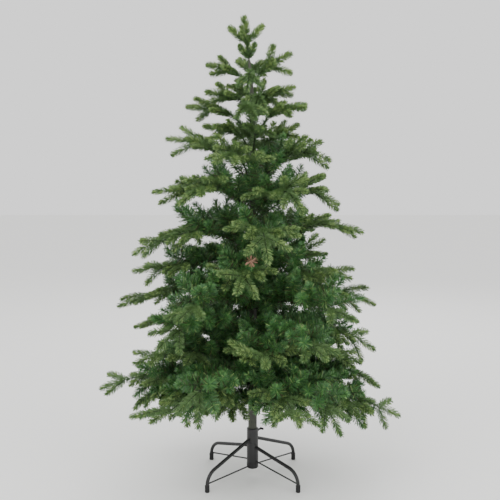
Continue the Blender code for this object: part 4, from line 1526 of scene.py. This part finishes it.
    def build_cap(self, leg: Leg) -> None:
        """Build a moulded cap with grip ribs under the foot of a leg.

        Args:
            leg: which leg's it is.
        """
        bore = self.leg_radius + GAP
        e = self.cap_edge
        profile = [(0.0, 0.0), (self.cap_radius - e, 0.0)] + arc((self.cap_radius - e, e), e, -90, 0)
        for rib in range(3):
            low = 0.006 + rib * self.cap_rib
            profile += [(self.cap_radius, low), (self.cap_radius - 0.0005, low + 0.0006)]
            profile += [(self.cap_radius - 0.0005, low + 0.0018), (self.cap_radius, low + 0.0024)]
        profile += arc((self.cap_radius - 0.0008, self.cap_height - 0.0008), 0.0008, 0, 90)
        profile += [(bore, self.cap_height), (bore, self.cap_floor), (0.0, self.cap_floor)]
        points, faces = lathe(profile, 40)
        turn = math.radians(leg.azimuth)
        points[:, :2] += self.foot_circle * np.array([math.cos(turn), math.sin(turn)])
        build_single(f"stand_cap_{leg.name}", "foot_plastic", f"foot_cap_{leg.name}", Steel.CAPS,
                     (points, faces), smooth=35.0)

    def build_screw(self) -> None:
        """The clamping screw with its thread and its crossbar."""
        turn = Matrix.Rotation(math.radians(self.screw_azimuth), 4, "Z")
        foot = turn @ Vector((self.boss_reach + GAP, 0.0, self.screw_height))
        aim = Matrix.Translation(foot) @ turn @ Matrix.Rotation(math.pi / 2, 4, "Y")
        radius, pitch = self.screw_radius, self.thread_pitch
        threads = int(self.screw_length * self.thread_share / pitch)
        profile = [(0.0, 0.0), (radius - self.thread_depth, 0.0)]
        for k in range(threads):
            profile += [(radius, (k + 0.45) * pitch), (radius - self.thread_depth, (k + 0.95) * pitch)]
        profile += [(radius, threads * pitch + 0.0006), (radius, self.screw_length)]
        straight = self.knob_half - self.knob_radius
        bar = arc((0.0, -straight), self.knob_radius, -90, 0, 8)
        bar += arc((0.0, straight), self.knob_radius, 0, 90, 8)
        head = turn @ Vector((self.boss_reach + GAP + self.screw_length, 0.0, self.screw_height))
        across = Matrix.Translation(head) @ turn @ Matrix.Rotation(math.pi / 2, 4, "X")
        build_single("stand_clamp_screw", "painted_stand", "stand_screw", Steel.BLACK,
                     placed(lathe(profile, 24), aim), placed(lathe(bar, 28), across))


# ------------------------------------------------------------------ studio


@dataclass
class Studio:
    """Plain pale floor, soft lights and the camera."""

    floor_half: float = 14.0
    board: PaintedBoard = PaintedBoard("painted_board_white", "#F4F4F2", 0.9)
    lights: tuple = (("key", (-1.6, -2.4, 3.4), 2.2, 70.0), ("fill", (2.6, -2.4, 2.2), 2.8, 40.0),
                     ("back", (0.6, 2.9, 2.8), 2.4, 40.0))      # name, place, size and power
    light_target: tuple = (0.0, 0.0, 0.75)
    air_strength: float = 1.30
    camera_place: tuple = (-0.0084, -2.606, 1.031)
    camera_pitch: float = 6.036
    lens: float = 58.23
    sensor: float = 36.0

    def build(self) -> None:
        """Set the studio up."""
        self.build_floor()
        for light in self.lights:
            self.add_light(*light)
        world = bpy.data.worlds.new("studio_air")
        world.use_nodes = True
        air = world.node_tree.nodes["Background"]
        air.inputs["Color"].default_value = linear("#FFFFFF")
        air.inputs["Strength"].default_value = self.air_strength
        bpy.context.scene.world = world
        data = bpy.data.cameras.new("camera")
        data.lens = self.lens
        data.sensor_width = self.sensor
        camera = bpy.data.objects.new("camera", data)
        camera.location = self.camera_place
        camera.rotation_euler = (math.radians(90 - self.camera_pitch), 0.0, 0.0)
        bpy.context.scene.collection.objects.link(camera)
        bpy.context.scene.camera = camera

    def build_floor(self) -> None:
        """A wide matt white board."""
        h = self.floor_half
        mesh = bpy.data.meshes.new("floor")
        mesh.from_pydata([(-h, -h, 0), (h, -h, 0), (h, h, 0), (-h, h, 0)], [], [(0, 1, 2, 3)])
        mesh.materials.append(self.board.material())
        floor = bpy.data.objects.new("floor", mesh)
        bpy.context.scene.collection.objects.link(floor)

    def add_light(self, name: str, place: tuple, size: float, power: float) -> None:
        """Add a square soft light that faces the tree's middle.

        Args:
            name: its name.
            place: where it hangs.
            size: its side.
            power: what it gives, in watts.
        """
        data = bpy.data.lights.new(name, "AREA")
        data.size = size
        data.energy = power
        light = bpy.data.objects.new(name, data)
        light.location = place
        aim = Vector(self.light_target) - Vector(place)
        light.rotation_euler = aim.to_track_quat("-Z", "Y").to_euler()
        bpy.context.scene.collection.objects.link(light)


def main() -> None:
    """Build the tree, its stand and the studio."""
    logging.basicConfig(level=logging.INFO, format="%(message)s")
    Pole().build()
    TubeStand().build()
    Canopy().build()
    Studio().build()


if __name__ == "__main__":
    main()
